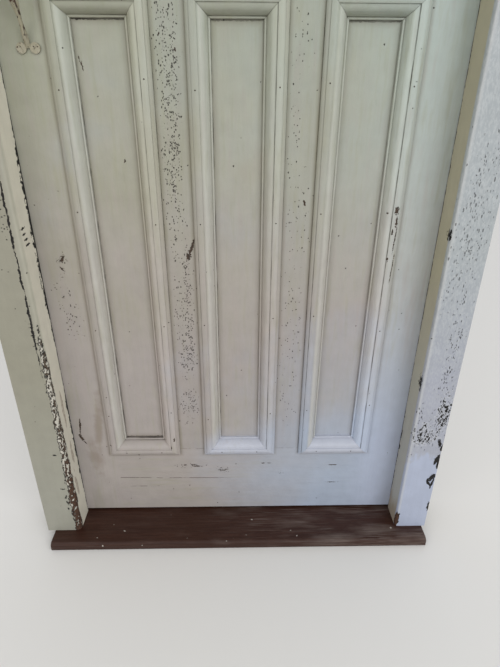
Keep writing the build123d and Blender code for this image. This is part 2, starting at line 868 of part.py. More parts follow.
with BuildPart() as cylinder_plug:
    round_in((latch_x, latch_z), plug_radius, cylinder_y)
    keyway = about(latch_z, keyway_height / 2)
    block(about(latch_x, keyway_width / 2), (cylinder_y[0] - 1, outer_face + 12), keyway, Mode.SUBTRACT)
    tail_bar = about(latch_z, tail_bar_width / 2)
    block(about(latch_x, tail_bar_thickness / 2), (cylinder_y[1], tail_y[0] - cam_gap), tail_bar)
save(cylinder_plug, "cylinder_plug")
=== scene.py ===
"""An old painted front door in its frame: the looks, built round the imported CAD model.

The frame's X runs from the lock side to the hinge side, Y from outdoors to indoors and Z up, in metres.
"""

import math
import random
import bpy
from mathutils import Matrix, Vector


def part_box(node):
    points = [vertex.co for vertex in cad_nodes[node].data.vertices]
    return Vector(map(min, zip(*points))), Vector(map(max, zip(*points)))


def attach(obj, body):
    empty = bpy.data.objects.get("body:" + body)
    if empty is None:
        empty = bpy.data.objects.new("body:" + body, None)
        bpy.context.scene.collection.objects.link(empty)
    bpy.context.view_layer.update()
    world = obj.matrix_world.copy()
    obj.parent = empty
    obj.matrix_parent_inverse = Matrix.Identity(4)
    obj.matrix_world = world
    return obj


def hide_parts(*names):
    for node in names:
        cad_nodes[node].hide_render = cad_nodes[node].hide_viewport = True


bl_info = {
    "name": "Old panelled front door",
    "version": (1, 0, 0),
    "blender": (4, 5, 0),
    "location": "View3D > Sidebar > Front door",
    "description": "Dresses the CAD model of a panelled front door with worn paint, timber and metal",
    "category": "Object",
}

import bpy
from bpy.props import FloatProperty, FloatVectorProperty, PointerProperty
from mathutils import Matrix, Vector

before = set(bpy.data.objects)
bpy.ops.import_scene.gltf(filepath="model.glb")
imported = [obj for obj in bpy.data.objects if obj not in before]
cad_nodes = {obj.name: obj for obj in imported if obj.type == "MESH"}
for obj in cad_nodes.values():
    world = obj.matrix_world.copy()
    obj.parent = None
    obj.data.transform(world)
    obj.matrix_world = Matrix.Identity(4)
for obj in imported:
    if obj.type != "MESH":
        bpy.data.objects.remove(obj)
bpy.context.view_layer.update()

# Places read from the CAD model

rows = ("lower", "upper")
columns = ("lock_side", "middle", "hinge_side")
moulding_lap = 0.015
leaf_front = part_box("lock_stile")[0][1]
leaf_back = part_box("lock_stile")[1][1]
jamb_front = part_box("lock_jamb")[0][1]
lock_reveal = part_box("threshold")[0][0] + 0.064
hinge_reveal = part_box("threshold")[1][0] - 0.068
half_lock_rail = 0.09
camera_place = (0.00255, -0.9628, 1.0432)
outside_rebate = (0.43, 0.42)


def opening(row, column):
    """Centre and half size of a panel opening in the leaf, from the moulding lapped round it."""
    low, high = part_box(f"{row}_{column}_outer_moulding")
    centre = ((low[0] + high[0]) / 2, (low[2] + high[2]) / 2)
    half = ((high[0] - low[0]) / 2 - moulding_lap, (high[2] - low[2]) / 2 - moulding_lap)
    return centre, half


def srgb(red, green, blue):
    """A colour from its three values out of 255, as the renderer reads it."""
    linear = []
    for value in (red, green, blue):
        share = value / 255
        linear.append(share / 12.92 if share <= 0.04045 else ((share + 0.055) / 1.055) ** 2.4)
    return (*linear, 1.0)


def colour_property(name, description, colour):
    return FloatVectorProperty(
        name=name, description=description, subtype="COLOR", size=4, min=0, max=1, default=colour
    )


def length_property(name, description, length):
    return FloatProperty(
        name=name, description=description, default=length, min=0, unit="LENGTH", subtype="DISTANCE"
    )


def angle_property(name, description, degrees):
    return FloatProperty(name=name, description=description, default=math.radians(degrees), subtype="ANGLE")


def power_property(name, watts):
    return FloatProperty(name=name, description="Power in watts", default=watts, min=0, unit="POWER")


# Sizes and colours that a user may change

class PaintSettings(bpy.types.PropertyGroup):
    """Colours and wear of the old paint."""

    aged: colour_property("Aged paint", "White paint gone cream with age", srgb(173, 168, 155))
    shaded: colour_property("Sallow paint", "Paint that has yellowed most", srgb(158, 153, 135))
    cool: colour_property("Cool paint", "Paint bleached by daylight", srgb(172, 176, 170))
    rosy: colour_property("Rosy paint", "Neutral white low on the leaf", srgb(170, 162, 157))
    fresh: colour_property("Fresh paint", "Newer white paint brushed over worn places", srgb(170, 180, 196))
    undercoat: colour_property("Undercoat", "Grey coat under the white paint", srgb(136, 136, 130))
    # This colour also paints the shade in the mouldings' quirks, besides real dirt.
    dirt_and_shade: colour_property("Dirt", "Grime in the quirks and joints", srgb(52, 45, 37))
    bare: colour_property("Bare timber", "Weathered timber where paint is gone", srgb(104, 76, 58))
    speckle: FloatProperty(
        name="Speckle", description="How thickly flecks of paint are missing", default=1, min=0, max=2
    )
    film: length_property("Paint thickness", "Depth of the old coats of paint", 0.0005)


class TimberSettings(bpy.types.PropertyGroup):
    """Colours and wear of the stained threshold and of bare timber."""

    stain: colour_property("Stain", "Dark stain of the threshold", srgb(50, 27, 18))
    stain_light: colour_property("Worn stain", "Stain rubbed thin", srgb(70, 44, 34))
    dust: colour_property("Dust", "Dust and scratches", srgb(146, 134, 126))
    softwood: colour_property("Softwood", "Wedges of the tenons", srgb(176, 138, 92))
    arris_wear: length_property("Arris wear", "Depth of the broken arris on the jambs", 0.003)


class MetalSettings(bpy.types.PropertyGroup):
    """Colours of the ironwork, steel and brass."""

    iron: colour_property("Iron", "Black japanned iron", srgb(34, 32, 31))
    rust: colour_property("Rust", "Rust on iron and steel", srgb(96, 56, 36))
    steel: colour_property("Steel", "Dull steel", srgb(140, 138, 134))
    brass: colour_property("Brass", "Aged brass", srgb(168, 132, 70))
    nail_radius: length_property("Nail radius", "Radius of a nail head in a moulding", 0.0013)
    nail_spacing: length_property("Nail spacing", "Distance between nails along a moulding", 0.19)
    slot_width: length_property("Slot width", "Width of a screw's slot", 0.0011)


class StageSettings(bpy.types.PropertyGroup):
    """The camera, the lights and the floor."""

    camera_pitch: angle_property("Camera pitch", "How far the camera looks down", 27.44)
    camera_yaw: angle_property("Camera yaw", "How far the camera looks right", 1.39)
    camera_roll: angle_property("Camera roll", "How far the camera leans", 0.39)
    floor_size: length_property("Floor size", "Side of the pale floor", 12)
    key_power: power_property("Key light", 210)
    fill_power: power_property("Fill light", 58)


# Building a finish

class Finish:
    """One material's node tree, built a node at a time on Object coordinates."""

    def __init__(self, name):
        self.material = bpy.data.materials.new(name)
        self.material.use_nodes = True
        self.nodes = self.material.node_tree.nodes
        self.links = self.material.node_tree.links
        self.shader = self.nodes["Principled BSDF"]
        self.place = self.nodes.new("ShaderNodeTexCoord").outputs["Object"]
        self.x, self.y, self.z = self.add("ShaderNodeSeparateXYZ", {"Vector": self.place}).outputs

    def add(self, kind, values, **settings):
        """Adds a node with some settings, and feeds its sockets numbers or other nodes' outputs."""
        node = self.nodes.new(kind)
        for key, value in settings.items():
            setattr(node, key, value)
        for key, value in values.items():
            if isinstance(value, bpy.types.NodeSocket):
                self.links.new(value, node.inputs[key])
            else:
                node.inputs[key].default_value = value
        return node

    def maths(self, operation, first, second=0.0):
        return self.add("ShaderNodeMath", {0: first, 1: second}, operation=operation).outputs[0]

    def chain(self, operation, values):
        """Joins any number of values by one operation, from the first to the last."""
        result = values[0]
        for value in values[1:]:
            result = self.maths(operation, result, value)
        return result

    def total(self, *values):
        return self.chain("ADD", values)

    def product(self, *values):
        return self.chain("MULTIPLY", values)

    def larger(self, *values):
        return self.chain("MAXIMUM", values)

    def less(self, first, second):
        return self.maths("SUBTRACT", first, second)

    def apart(self, first, second):
        return self.maths("ABSOLUTE", self.less(first, second))

    def ramp(self, value, low, high, start=0.0, end=1.0):
        """Takes a value from one range to another, held at the ends."""
        return self.add("ShaderNodeMapRange", {0: value, 1: low, 2: high, 3: start, 4: end}).outputs[0]

    def change(self, value, at, start=0.0, end=1.0):
        """Goes from one number to another where a value passes a place, over two millimetres."""
        return self.ramp(value, at - 0.001, at + 0.001, start, end)

    def evenly(self, cloud, low, high):
        """Spreads the middle of a noise over a range."""
        return self.ramp(cloud, 0.3, 0.7, low, high)

    def relief(self, *swells):
        """The height of noises in metres, each with its own depth."""
        return self.total(*(self.ramp(cloud, 0.2, 0.8, 0, depth) for cloud, depth in swells))

    def stretched(self, size, stretch, shift):
        scale = tuple(1 / (size * factor) for factor in stretch)
        values = {"Vector": self.place, "Scale": scale, "Location": (shift, shift * 1.7, shift * 2.3)}
        return self.add("ShaderNodeMapping", values).outputs[0]

    def noise(self, size, detail=3.0, stretch=(1, 1, 1), shift=0.0, roughness=0.55):
        """Clouds about as large as a size in metres, longer where stretched."""
        values = {
            "Vector": self.stretched(size, stretch, shift),
            "Scale": 1.0,
            "Detail": detail,
            "Roughness": roughness,
        }
        return self.add("ShaderNodeTexNoise", values).outputs[0]

    def mix(self, share, first, second, blend="MIX"):
        values = {0: share, 6: first, 7: second}
        return self.add("ShaderNodeMix", values, data_type="RGBA", blend_type=blend).outputs[2]

    def shade(self, colour, amount):
        """Darkens or lightens a colour by a factor about 1."""
        grey = self.add("ShaderNodeCombineColor", {0: amount, 1: amount, 2: amount}).outputs[0]
        return self.mix(1.0, colour, grey, "MULTIPLY")

    def flecks(self, cell, share, size=0.3, stretch=(1, 1, 1), shift=0.0):
        """Small torn flecks in a share of the cells of a scattered grid."""
        torn = self.noise(cell * 0.4, 2.0, shift=shift + 3)
        where = self.stretched(cell, stretch, shift)
        grid = self.add("ShaderNodeTexVoronoi", {"Vector": where, "Scale": 1.0})
        chance = self.add("ShaderNodeSeparateColor", {0: grid.outputs["Color"]})
        kept = self.maths("LESS_THAN", chance.outputs[0], share)
        reach = self.ramp(chance.outputs[1], 0, 1, size * 0.45, size * 1.25)
        edge = self.total(grid.outputs["Distance"], self.ramp(torn, 0.25, 0.75, -0.16, 0.16))
        inside = self.ramp(self.less(reach, edge), -0.03, 0.05)
        return self.product(kept, inside)

    def oval(self, spot):
        """How far a point is from an oval's middle, as a share of the oval's size."""
        centre, size, turn = spot
        values = {"Vector": self.place, "Location": centre, "Rotation": (0, turn, 0), "Scale": size}
        inside = self.add("ShaderNodeMapping", values, vector_type="TEXTURE").outputs[0]
        return self.add("ShaderNodeVectorMath", {0: inside}, operation="LENGTH").outputs["Value"]

    def patch(self, spots, soft=0.12, torn=0.0, tear=None):
        """The area of a list of ovals, with an edge that is soft or torn."""
        nearest = self.oval(spots[0])
        for spot in spots[1:]:
            nearest = self.maths("MINIMUM", nearest, self.oval(spot))
        if tear is not None:
            nearest = self.total(nearest, self.ramp(tear, 0.3, 0.7, -torn, torn))
        return self.ramp(nearest, 1 + soft / 2, 1 - soft / 2)

    def line(self, value, at, width):
        """A thin line where a value passes a number."""
        gap = self.apart(value, at)
        return self.ramp(gap, width, width * 0.35)

    def into_opening(self, column=None):
        """How far a point lies inside the nearest panel opening, square-cornered as its moulding is.

        The second value is below zero on the opening's uprights and above it on its levels.
        """
        across = None
        for one in (column,) if column else columns:
            (centre, level), (half_width, half_height) = opening("lower", one)
            side = self.apart(self.x, centre)
            across = side if across is None else self.maths("MINIMUM", across, side)
        across = self.less(half_width, across)
        up = None
        for row in rows:
            (centre, level), (half_width, half_height) = opening(row, "middle")
            side = self.apart(self.z, level)
            side = self.less(half_height, side)
            up = side if up is None else self.maths("MAXIMUM", up, side)
        return self.maths("MINIMUM", across, up), self.less(across, up)

    def on_side(self, mitre, column, left, right, top, foot):
        """A number for each length of a moulding."""
        (centre, level), half = opening("lower", column)
        upper_level = opening("upper", column)[0][1]
        upright = self.ramp(mitre, 0.0004, -0.0004)
        sideways = self.change(self.x, centre, left, right)
        lower = self.change(self.z, level, foot, top)
        upper = self.change(self.z, upper_level, foot, top)
        split = level + half[1] + half_lock_rail
        upward = self.blend(self.change(self.z, split), lower, upper)
        return self.blend(upright, upward, sideways)

    def blend(self, share, first, second):
        """Goes from one number to another by a share."""
        return self.add("ShaderNodeMix", {0: share, 2: first, 3: second}, data_type="FLOAT").outputs[0]

    def worn_edges(self, radius, low=0.02, high=0.12):
        """Where a sharp edge has been rubbed."""
        rounded = self.add("ShaderNodeBevel", {"Radius": radius}, samples=4).outputs[0]
        flat = self.nodes.new("ShaderNodeNewGeometry").outputs["Normal"]
        same = self.add("ShaderNodeVectorMath", {0: rounded, 1: flat}, operation="DOT_PRODUCT")
        return self.ramp(self.less(1.0, same.outputs["Value"]), low, high)

    def give(self, colour, roughness, height=None, metallic=0.0):
        """Feeds the shader. A height is in metres."""
        for key, value in (("Base Color", colour), ("Roughness", roughness), ("Metallic", metallic)):
            if isinstance(value, bpy.types.NodeSocket):
                self.links.new(value, self.shader.inputs[key])
            else:
                self.shader.inputs[key].default_value = value
        if height is not None:
            bump = self.add("ShaderNodeBump", {"Strength": 1.0, "Distance": 1.0, "Height": height})
            self.links.new(bump.outputs[0], self.shader.inputs["Normal"])
        return self.material


# Where the leaf and the frame are worn, in metres

def upright_oval(face, depth, x, z, half_width, half_height, turn=0.0):
    """An oval on an upright face, turned by some degrees: its centre, half size and turn."""
    return ((x, face, z), (half_width, depth, half_height), math.radians(turn))


def on_leaf(*ovals):
    return [upright_oval(leaf_front, 0.025, *oval) for oval in ovals]


def on_jamb(*ovals):
    return [upright_oval(jamb_front, 0.02, *oval) for oval in ovals]


def on_reveal(*ovals):
    """Ovals in the lock jamb's reveal, each by its depth and level and half its size in both."""
    return [((lock_reveal, y, z), (0.004, deep, high), 0.0) for y, z, deep, high in ovals]


brown_stains = on_leaf((-0.351, 0.2, 0.012, 0.045, -8), (-0.334, 0.29, 0.008, 0.08, 6))
fleck_fields = {
    "lower_lock_side_muntin": (
        (0.9, on_leaf((-0.1155, 1.0, 0.01, 0.06), (-0.117, 1.11, 0.013, 0.035), (-0.1165, 0.93, 0.01, 0.03))),
        (0.65, on_leaf(
            (-0.117, 1.06, 0.016, 0.11), (-0.118, 0.9, 0.013, 0.06), (-0.1055, 0.635, 0.008, 0.09),
            (-0.112, 0.5, 0.018, 0.06), (-0.1125, 0.35, 0.016, 0.04),
        )),
        (0.3, on_leaf((-0.119, 0.8, 0.016, 0.1), (-0.121, 0.72, 0.012, 0.03), (-0.112, 0.56, 0.02, 0.1))),
    ),
    "lower_hinge_side_muntin": (
        (0.1, on_leaf((0.102, 0.95, 0.012, 0.22), (0.12, 0.8, 0.022, 0.08))),
        (0.07, on_leaf((0.108, 0.5, 0.026, 0.2), (0.112, 1.08, 0.02, 0.05))),
    ),
    "bottom_rail": (
        (0.7, on_leaf((-0.04, 0.156, 0.016, 0.008))),
        (0.25, on_leaf((-0.115, 0.171, 0.03, 0.006), (0.11, 0.143, 0.012, 0.006))),
    ),
    "lock_stile": (
        (0.5, on_leaf((-0.352, 0.705, 0.009, 0.022, 20))),
        (0.16, on_leaf((-0.355, 0.6, 0.016, 0.06, -10))),
    ),
    "upper_lock_side_muntin": (
        (0.3, on_leaf((-0.114, 1.5, 0.014, 0.15))),
        (0.12, on_leaf((-0.114, 1.7, 0.02, 0.2))),
    ),
    "upper_hinge_side_muntin": ((0.1, on_leaf((0.116, 1.55, 0.02, 0.2))),),
}
chips = {
    "lower_lock_side_muntin": on_leaf(
        (-0.0915, 0.735, 0.0028, 0.019, 22), (-0.0985, 0.7165, 0.0042, 0.008, 10),
        (-0.1027, 1.0779, 0.0015, 0.0032, -12), (-0.1285, 1.101, 0.0012, 0.0026, 30),
    ),
    "lower_hinge_side_muntin": on_leaf((0.1286, 0.8243, 0.002, 0.0055, -15), (0.083, 0.7, 0.0012, 0.012)),
    "bottom_rail": on_leaf(
        (-0.1347, 0.1728, 0.004, 0.0014), (-0.1049, 0.1688, 0.013, 0.0019, 3), (-0.112, 0.1742, 0.007, 0.001),
        (0.0608, 0.1768, 0.0036, 0.0014), (0.077, 0.1766, 0.006, 0.0007), (-0.0425, 0.155, 0.008, 0.0014, 4),
        (-0.031, 0.158, 0.004, 0.001), (0.236, 0.169, 0.011, 0.0011), (0.238, 0.111, 0.012, 0.001),
    ),
    "lock_stile": on_leaf(
        (-0.3772, 0.296, 0.0022, 0.018, 6), (-0.3785, 0.262, 0.003, 0.012, -20),
        (-0.3505, 0.712, 0.003, 0.009, 24), (-0.355, 0.693, 0.002, 0.005, -40),
        (-0.372, 0.248, 0.0012, 0.006, -35),
    ),
    "mouldings": on_leaf(
        (0.3055, 0.812, 0.0042, 0.008), (0.3075, 0.79, 0.0022, 0.012, 4), (0.309, 0.755, 0.0013, 0.026, 3),
        (0.302, 0.77, 0.0016, 0.006), (0.3115, 0.69, 0.0012, 0.03, 3), (0.2905, 0.806, 0.0016, 0.0016),
        (0.3, 0.715, 0.0014, 0.005), (-0.2435, 0.215, 0.002, 0.003), (-0.3085, 0.245, 0.0022, 0.003),
        (-0.1545, 0.262, 0.002, 0.006), (-0.163, 0.236, 0.0015, 0.005),
    ),
    "panels": on_leaf(
        (-0.2652, 1.055, 0.0014, 0.007, -8), (-0.2685, 1.064, 0.001, 0.006, -10),
        (-0.2087, 0.8978, 0.0018, 0.003, 20),
    ),
}
cracks = {
    "bottom_rail": on_leaf(
        (-0.114, 0.2248, 0.03, 0.0006), (0.117, 0.2248, 0.03, 0.0005), (-0.3, 0.1335, 0.09, 0.0006, 0.6),
        (-0.13, 0.1305, 0.1, 0.0006, 0.5), (-0.235, 0.104, 0.04, 0.0005),
    ),
}
hinge_jamb_flecks = (
    on_jamb(
        (0.454, 0.36, 0.02, 0.055), (0.425, 0.312, 0.026, 0.032),
        (0.455, 0.97, 0.014, 0.1), (0.432, 0.87, 0.012, 0.06),
    ),
    on_jamb(
        (0.403, 0.33, 0.01, 0.075), (0.43, 0.78, 0.032, 0.16),
        (0.45, 0.52, 0.018, 0.14), (0.45, 1.05, 0.02, 0.08),
    ),
)
hinge_jamb_scales = on_jamb((0.458, 0.375, 0.018, 0.07), (0.422, 0.315, 0.03, 0.035))
hinge_jamb_chips = on_jamb(
    (0.4645, 0.289, 0.004, 0.013, -12), (0.4715, 0.275, 0.0035, 0.01), (0.4665, 0.24, 0.0055, 0.014, 14),
    (0.471, 0.226, 0.004, 0.012), (0.4625, 0.183, 0.006, 0.013, 30), (0.4575, 0.168, 0.0035, 0.009, -30),
    (0.4665, 0.165, 0.003, 0.016, 8), (0.4705, 0.09, 0.0028, 0.016), (0.3943, 0.777, 0.004, 0.012),
    (0.3935, 0.74, 0.0016, 0.03, 1), (0.395, 0.69, 0.0012, 0.02), (0.3927, 0.362, 0.0025, 0.009),
    (0.396, 0.45, 0.0014, 0.02),
)
repainted_foot = on_jamb((0.43, 0.08, 0.08, 0.175))
lock_jamb_flecks = on_jamb((-0.41, 0.575, 0.01, 0.03), (-0.44, 0.85, 0.02, 0.1))
lock_jamb_chips = on_jamb(
    (-0.4215, 0.264, 0.006, 0.0018), (-0.419, 0.16, 0.005, 0.0018), (-0.417, 0.135, 0.0025, 0.005, 20),
    (-0.4165, 0.115, 0.0025, 0.005, -20), (-0.4165, 0.095, 0.002, 0.005), (-0.41, 0.592, 0.005, 0.0012),
    (-0.41, 0.583, 0.005, 0.0012), (-0.41, 0.574, 0.005, 0.0012), (-0.409, 0.565, 0.005, 0.0012),
    (-0.408, 0.556, 0.004, 0.0012),
)
peeled_reveal = on_reveal(
    (-0.03, 0.38, 0.004, 0.05), (-0.028, 0.25, 0.005, 0.04), (-0.036, 0.15, 0.005, 0.03)
)
hatched_reveal = on_reveal(
    *((-0.046 + 0.003 * step, 0.787 - 0.011 * step, 0.009, 0.002) for step in range(4))
)


def painted_timber(name, grain="Z", piece="", column=None):
    """Old oil paint on a leaf member: brushed, yellowed, flecked, chipped and dirty at its quirks, with
    painted shade in the quirks and painted light near the hinge jamb and on the mouldings' slopes.
    """
    paint = bpy.context.scene.door_paint
    finish = Finish(name)
    ramp, mix, product, total = finish.ramp, finish.mix, finish.product, finish.total
    noise, evenly, on_side = finish.noise, finish.evenly, finish.on_side
    x, y, z = finish.x, finish.y, finish.z
    along = (14, 1, 1) if grain == "X" else (1, 1, 14)
    front = ramp(y, leaf_front + 0.022, leaf_front + 0.018)

    clouds = noise(0.22, 4.0)
    mottle = noise(0.03, 4.0, shift=4)
    brush = noise(0.0016, 2.0, along, 2)
    ripple = noise(0.012, 2.0, along, 5)
    tear = noise(0.0035, 3.0, shift=9)
    cloudy = evenly(clouds, -0.3, 0.3)

    tone = total(ramp(x, -0.42, 0.42), ramp(z, 0.2, 1.4, 0, 0.35), cloudy)
    colour = mix(ramp(tone, -0.1, 0.6), paint.shaded, paint.aged)
    colour = mix(ramp(tone, 0.55, 1.3), colour, paint.cool)
    low = total(ramp(z, 0.9, 0.45), cloudy)
    colour = mix(product(front, ramp(low, 0, 1)), colour, paint.rosy)
    low_right = product(ramp(x, -0.2, 0.36), ramp(z, 0.62, 0.14))
    soonest = 0.5 if piece in ("mouldings", "hinge_stile") else 0.75
    fresh = product(front, ramp(total(low_right, product(cloudy, 0.5)), 0.08, soonest))
    colour = mix(fresh, colour, paint.fresh)
    # Painted light: the leaf is lighter and bluer next to the hinge jamb, in place of the light that the
    # jamb's shadow takes.
    painted_light_by_jamb = product(front, ramp(x, 0.27, 0.34))
    painted_light_tint = mix(ramp(z, 0.7, 0.25), srgb(184, 189, 188), srgb(180, 188, 208))
    colour = mix(product(painted_light_by_jamb, 0.75), colour, painted_light_tint)
    if piece == "mouldings":
        inside, mitre = finish.into_opening(column)
        # A painted highlight on the slopes of the left-hand lengths, which face the light.
        slope = ramp(inside, 0.003, 0.009)
        left = product(slope, on_side(mitre, column, 0.7, 0, 0, 0))
        colour = mix(left, colour, srgb(196, 193, 184))
        # The right-hand lengths face away from the light; they are painted lighter, as painted light, by a
        # share set for each column.
        right = on_side(mitre, column, 0, 1, 0, 0)
        painted_light_by_column = {"lock_side": 0.25, "middle": 0.18, "hinge_side": 0.3}[column]
        painted_light_lift = total(1.0, product(right, ramp(inside, 0.001, 0.009, 0.14, painted_light_by_column)))
        colour = finish.shade(colour, painted_light_lift)
        if column == "middle":
            low = product(ramp(mitre, -0.06, 0), ramp(z, 0.36, 0.26))
            colour = mix(product(low, 0.7), colour, srgb(190, 193, 204))
        if column != "lock_side":
            foot = product(on_side(mitre, column, 0, 0, 0, 0.9), ramp(z, 1.2, 0.6))
            colour = mix(foot, colour, srgb(186, 189, 200))
    shade = total(evenly(mottle, 0.955, 1.03), evenly(brush, -0.012, 0.012), evenly(ripple, -0.015, 0.015))
    if "muntin" in piece:
        shade = product(shade, 0.95)
    streaks = noise(0.011, 3.0, tuple(factor if factor == 1 else 9 for factor in along), 8)
    older = ramp(fresh, 0.1, 0.7, 1.0, 0.1)
    colour = mix(product(ramp(streaks, 0.52, 0.72, 0, 0.35), older), colour, srgb(160, 156, 132))
    colour = mix(product(ramp(streaks, 0.48, 0.3, 0, 0.3), older), colour, srgb(172, 160, 154))
    colour = finish.shade(colour, shade)
    sallow = product(front, ramp(z, 0.7, 1.1))
    colour = mix(sallow, colour, srgb(246, 255, 250), "MULTIPLY")

    stain = product(front, finish.patch(brown_stains, 1.2, 0.5, mottle), 0.42)
    handled = finish.patch([((-0.34, leaf_back, 1.36), (0.08, 0.015, 0.16), 0)], 1.0, 0.4, mottle)
    kicked = product(ramp(y, 0.035, 0.04), ramp(z, 0.3, 0.04), ramp(streaks, 0.4, 0.65))
    stain = finish.larger(stain, product(handled, 0.35), product(kicked, 0.5))
    colour = mix(stain, colour, srgb(122, 104, 84))

    # Grime and dark quirk lines: dirt, and painted shade in the recesses and on the lengths facing away from
    # the light.
    grime_and_shade, quirk_dirt_and_shade = dirt_and_shade_at_quirks(finish, piece, column)
    grime_and_shade = product(grime_and_shade, finish.blend(front, 0.35, 1.0))
    quirk_dirt_and_shade = product(quirk_dirt_and_shade, finish.blend(front, 0.2, 1.0))
    colour = mix(product(grime_and_shade, ramp(fresh, 0, 1, 0.4, 0.2)), colour, srgb(112, 100, 76))
    colour = mix(product(quirk_dirt_and_shade, ramp(mottle, 0.35, 0.6, 0.55, 1.0)), colour, paint.dirt_and_shade)

    flecked, bared = bare_patches(finish, piece, tear, front, paint.speckle)
    colour = mix(bared, colour, mix(0.45, bare_timber(finish, along), paint.dirt_and_shade))
    colour = mix(product(flecked, 0.9), colour, srgb(44, 40, 34))
    gone = finish.larger(flecked, bared)
    swell = finish.relief((brush, 0.00007), (ripple, 0.0003), (mottle, 0.0006))
    height = total(swell, product(gone, -paint.film), product(quirk_dirt_and_shade, -0.0004))
    roughness = total(evenly(mottle, 0.44, 0.58), product(gone, 0.3), product(fresh, -0.05))
    return finish.give(colour, roughness, height)


def bare_timber(finish, along):
    """Weathered timber and old dirty coats, as they show where the paint is gone."""
    paint = bpy.context.scene.door_paint
    fibre = finish.noise(0.0009, 3.0, along, 21)
    depth = finish.noise(0.004, 2.0, shift=23)
    exposed = finish.mix(finish.ramp(fibre, 0.35, 0.65), paint.dirt_and_shade, paint.bare)
    return finish.mix(finish.ramp(depth, 0.4, 0.6, 0, 0.7), exposed, paint.dirt_and_shade)


def bare_patches(finish, piece, tear, front, amount):
    """Small flecks, and the chips and cracks, of one piece."""
    product, larger, noise = finish.product, finish.larger, finish.noise
    patch, flecks = finish.patch, finish.flecks
    flecked = flecks(0.007, 0.014 * amount, 0.17, shift=31)
    if piece in fleck_fields:
        cluster = finish.ramp(noise(0.009, 2.0, (1, 1, 2.4), 6), 0.38, 0.6, 0.1, 1.0)
        share = 0.0
        for thickness, spots in fleck_fields[piece]:
            field = product(patch(spots, 1.0, 0.4, noise(0.02, 2.0, shift=7)), thickness)
            share = field if share == 0.0 else larger(share, field)
        share = product(front, share, cluster, amount)
        fine = flecks(0.0028, share, 0.38, (1, 1, 1.5), 14)
        small = flecks(0.0019, product(share, 0.9), 0.4, (1, 1, 1.4), 17)
        flecked = larger(flecked, fine, small)
    masks = []
    if piece in chips:
        masks.append(patch(chips[piece], 0.15, 0.55, tear))
    if piece in cracks:
        broken = finish.ramp(noise(0.02, 2.0, shift=12), 0.4, 0.5)
        masks.append(product(patch(cracks[piece], 0.4), broken))
    if not masks:
        return flecked, flecks(0.03, 0.02 * amount, 0.07, shift=33)
    return flecked, product(front, larger(*masks))


# Strength of the dark line at a member's lap edge: dirt, and painted shade beside the moulding.
lap_dirt_and_shade = {"lock_stile": 0.6, "bottom_rail": 0.25}


def dirt_and_shade_at_quirks(finish, piece, column):
    """Soft grime and painted shade beside the mouldings, and the crisp dark lines in their quirks: dirt, and
    painted shade that is strongest where a face turns away from the light.
    """
    ramp, product, larger, on_side = finish.ramp, finish.product, finish.larger, finish.on_side
    z = finish.z
    inside, mitre = finish.into_opening(column)
    broken = ramp(finish.noise(0.05, 3.0, shift=16), 0.35, 0.62, 0.1, 1.0)
    ragged = ramp(finish.noise(0.005, 4.0, shift=18), 0.35, 0.65, -0.0011, 0.0011)
    foot = 1.0 if column == "lock_side" else 0.04
    if piece == "mouldings":
        # Soft grime and painted shade, strongest on the right-hand and top lengths, which face away from the
        # light.
        grime_and_shade = larger(
            ramp(inside, 0.0165, 0.0215, 0, 0.3),
            product(finish.line(inside, -0.0115, 0.0045), 0.5),
        )
        grime_and_shade = product(grime_and_shade, on_side(mitre, column, 0.45, 1.0, 1.0, 0.3 * foot))
        quirk_dirt_and_shade = product(finish.line(mitre, 0, 0.0007), broken, ramp(z, 0.3, 0.5, 0.1, 0.5))
        # Dark lines in the quirks, set for each length: dirt, and painted shade where a step faces away from
        # the light.
        for at, width, left, right, top, bottom in (
            (0.0262, 0.0011, 0.9, 0.4, 1.0, foot),
            (0.0214, 0.0008, 0.05, 0.1, 0.65, foot * 0.6),
            (0.0045, 0.0008, 0.0, 0.85, 0.4, 0.04),
            (-0.0081, 0.0007, ramp(z, 0.9, 0.65, 0.1, 0.75), 0.1, 0.4, 0.1),
        ):
            strength = on_side(mitre, column, left, right, top, bottom)
            quirk_dirt_and_shade = larger(quirk_dirt_and_shade, product(finish.line(inside, at, width), broken, strength))
        return grime_and_shade, quirk_dirt_and_shade
    if piece == "panels":
        strength = on_side(mitre, column, 0.9, 0.35, 0.9, foot)
        grime_and_shade = product(ramp(inside, 0.038, 0.0255), on_side(mitre, column, 0.6, 0.6, 0.9, foot))
        quirk_dirt_and_shade = product(finish.line(inside, 0.0257, 0.0012), broken, strength)
        # A dark band on the panel along its top: painted shadow under the moulding; also along the lock-side
        # panel's foot.
        levels = on_side(mitre, column, 0.0, 0.0, 1.0 if column == "lock_side" else 0.6, foot)
        shade_and_dirt_band = ramp(finish.total(inside, ragged), 0.0284, 0.0279)
        return grime_and_shade, larger(quirk_dirt_and_shade, product(shade_and_dirt_band, levels))
    grime_and_shade = ramp(inside, -0.024, -0.0145)
    if "muntin" in piece:
        low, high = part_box(piece)
        middle = (low[0] + high[0]) / 2
        far_side = 0.1 if piece == "lower_lock_side_muntin" else 0.95
        near_side = ramp(z, 0.3, 0.9, 0.15, 0.95)
        crisp = finish.change(finish.x, middle, near_side, far_side)
    elif piece == "hinge_stile":
        crisp = ramp(z, 0.35, 0.65, 0.05, 1.0)
    else:
        crisp = lap_dirt_and_shade.get(piece, 0.5)
    quirk_dirt_and_shade = product(finish.line(inside, -0.0152, 0.0011), broken, crisp)
    return grime_and_shade, quirk_dirt_and_shade


def reveal_side(finish, side):
    """1 in the reveal and on its rebate, and 0 from there to the frame's outer side."""
    ramp = finish.ramp
    x = finish.x
    if side == "head":
        across = finish.maths("ABSOLUTE", x)
        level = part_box("head_jamb")[1][2] - 0.051
        below = ramp(finish.z, level, level - 0.01)
        return finish.product(below, ramp(across, *outside_rebate))
    out = -1 if side == "lock" else 1
    return ramp(x, *(out * edge for edge in outside_rebate))


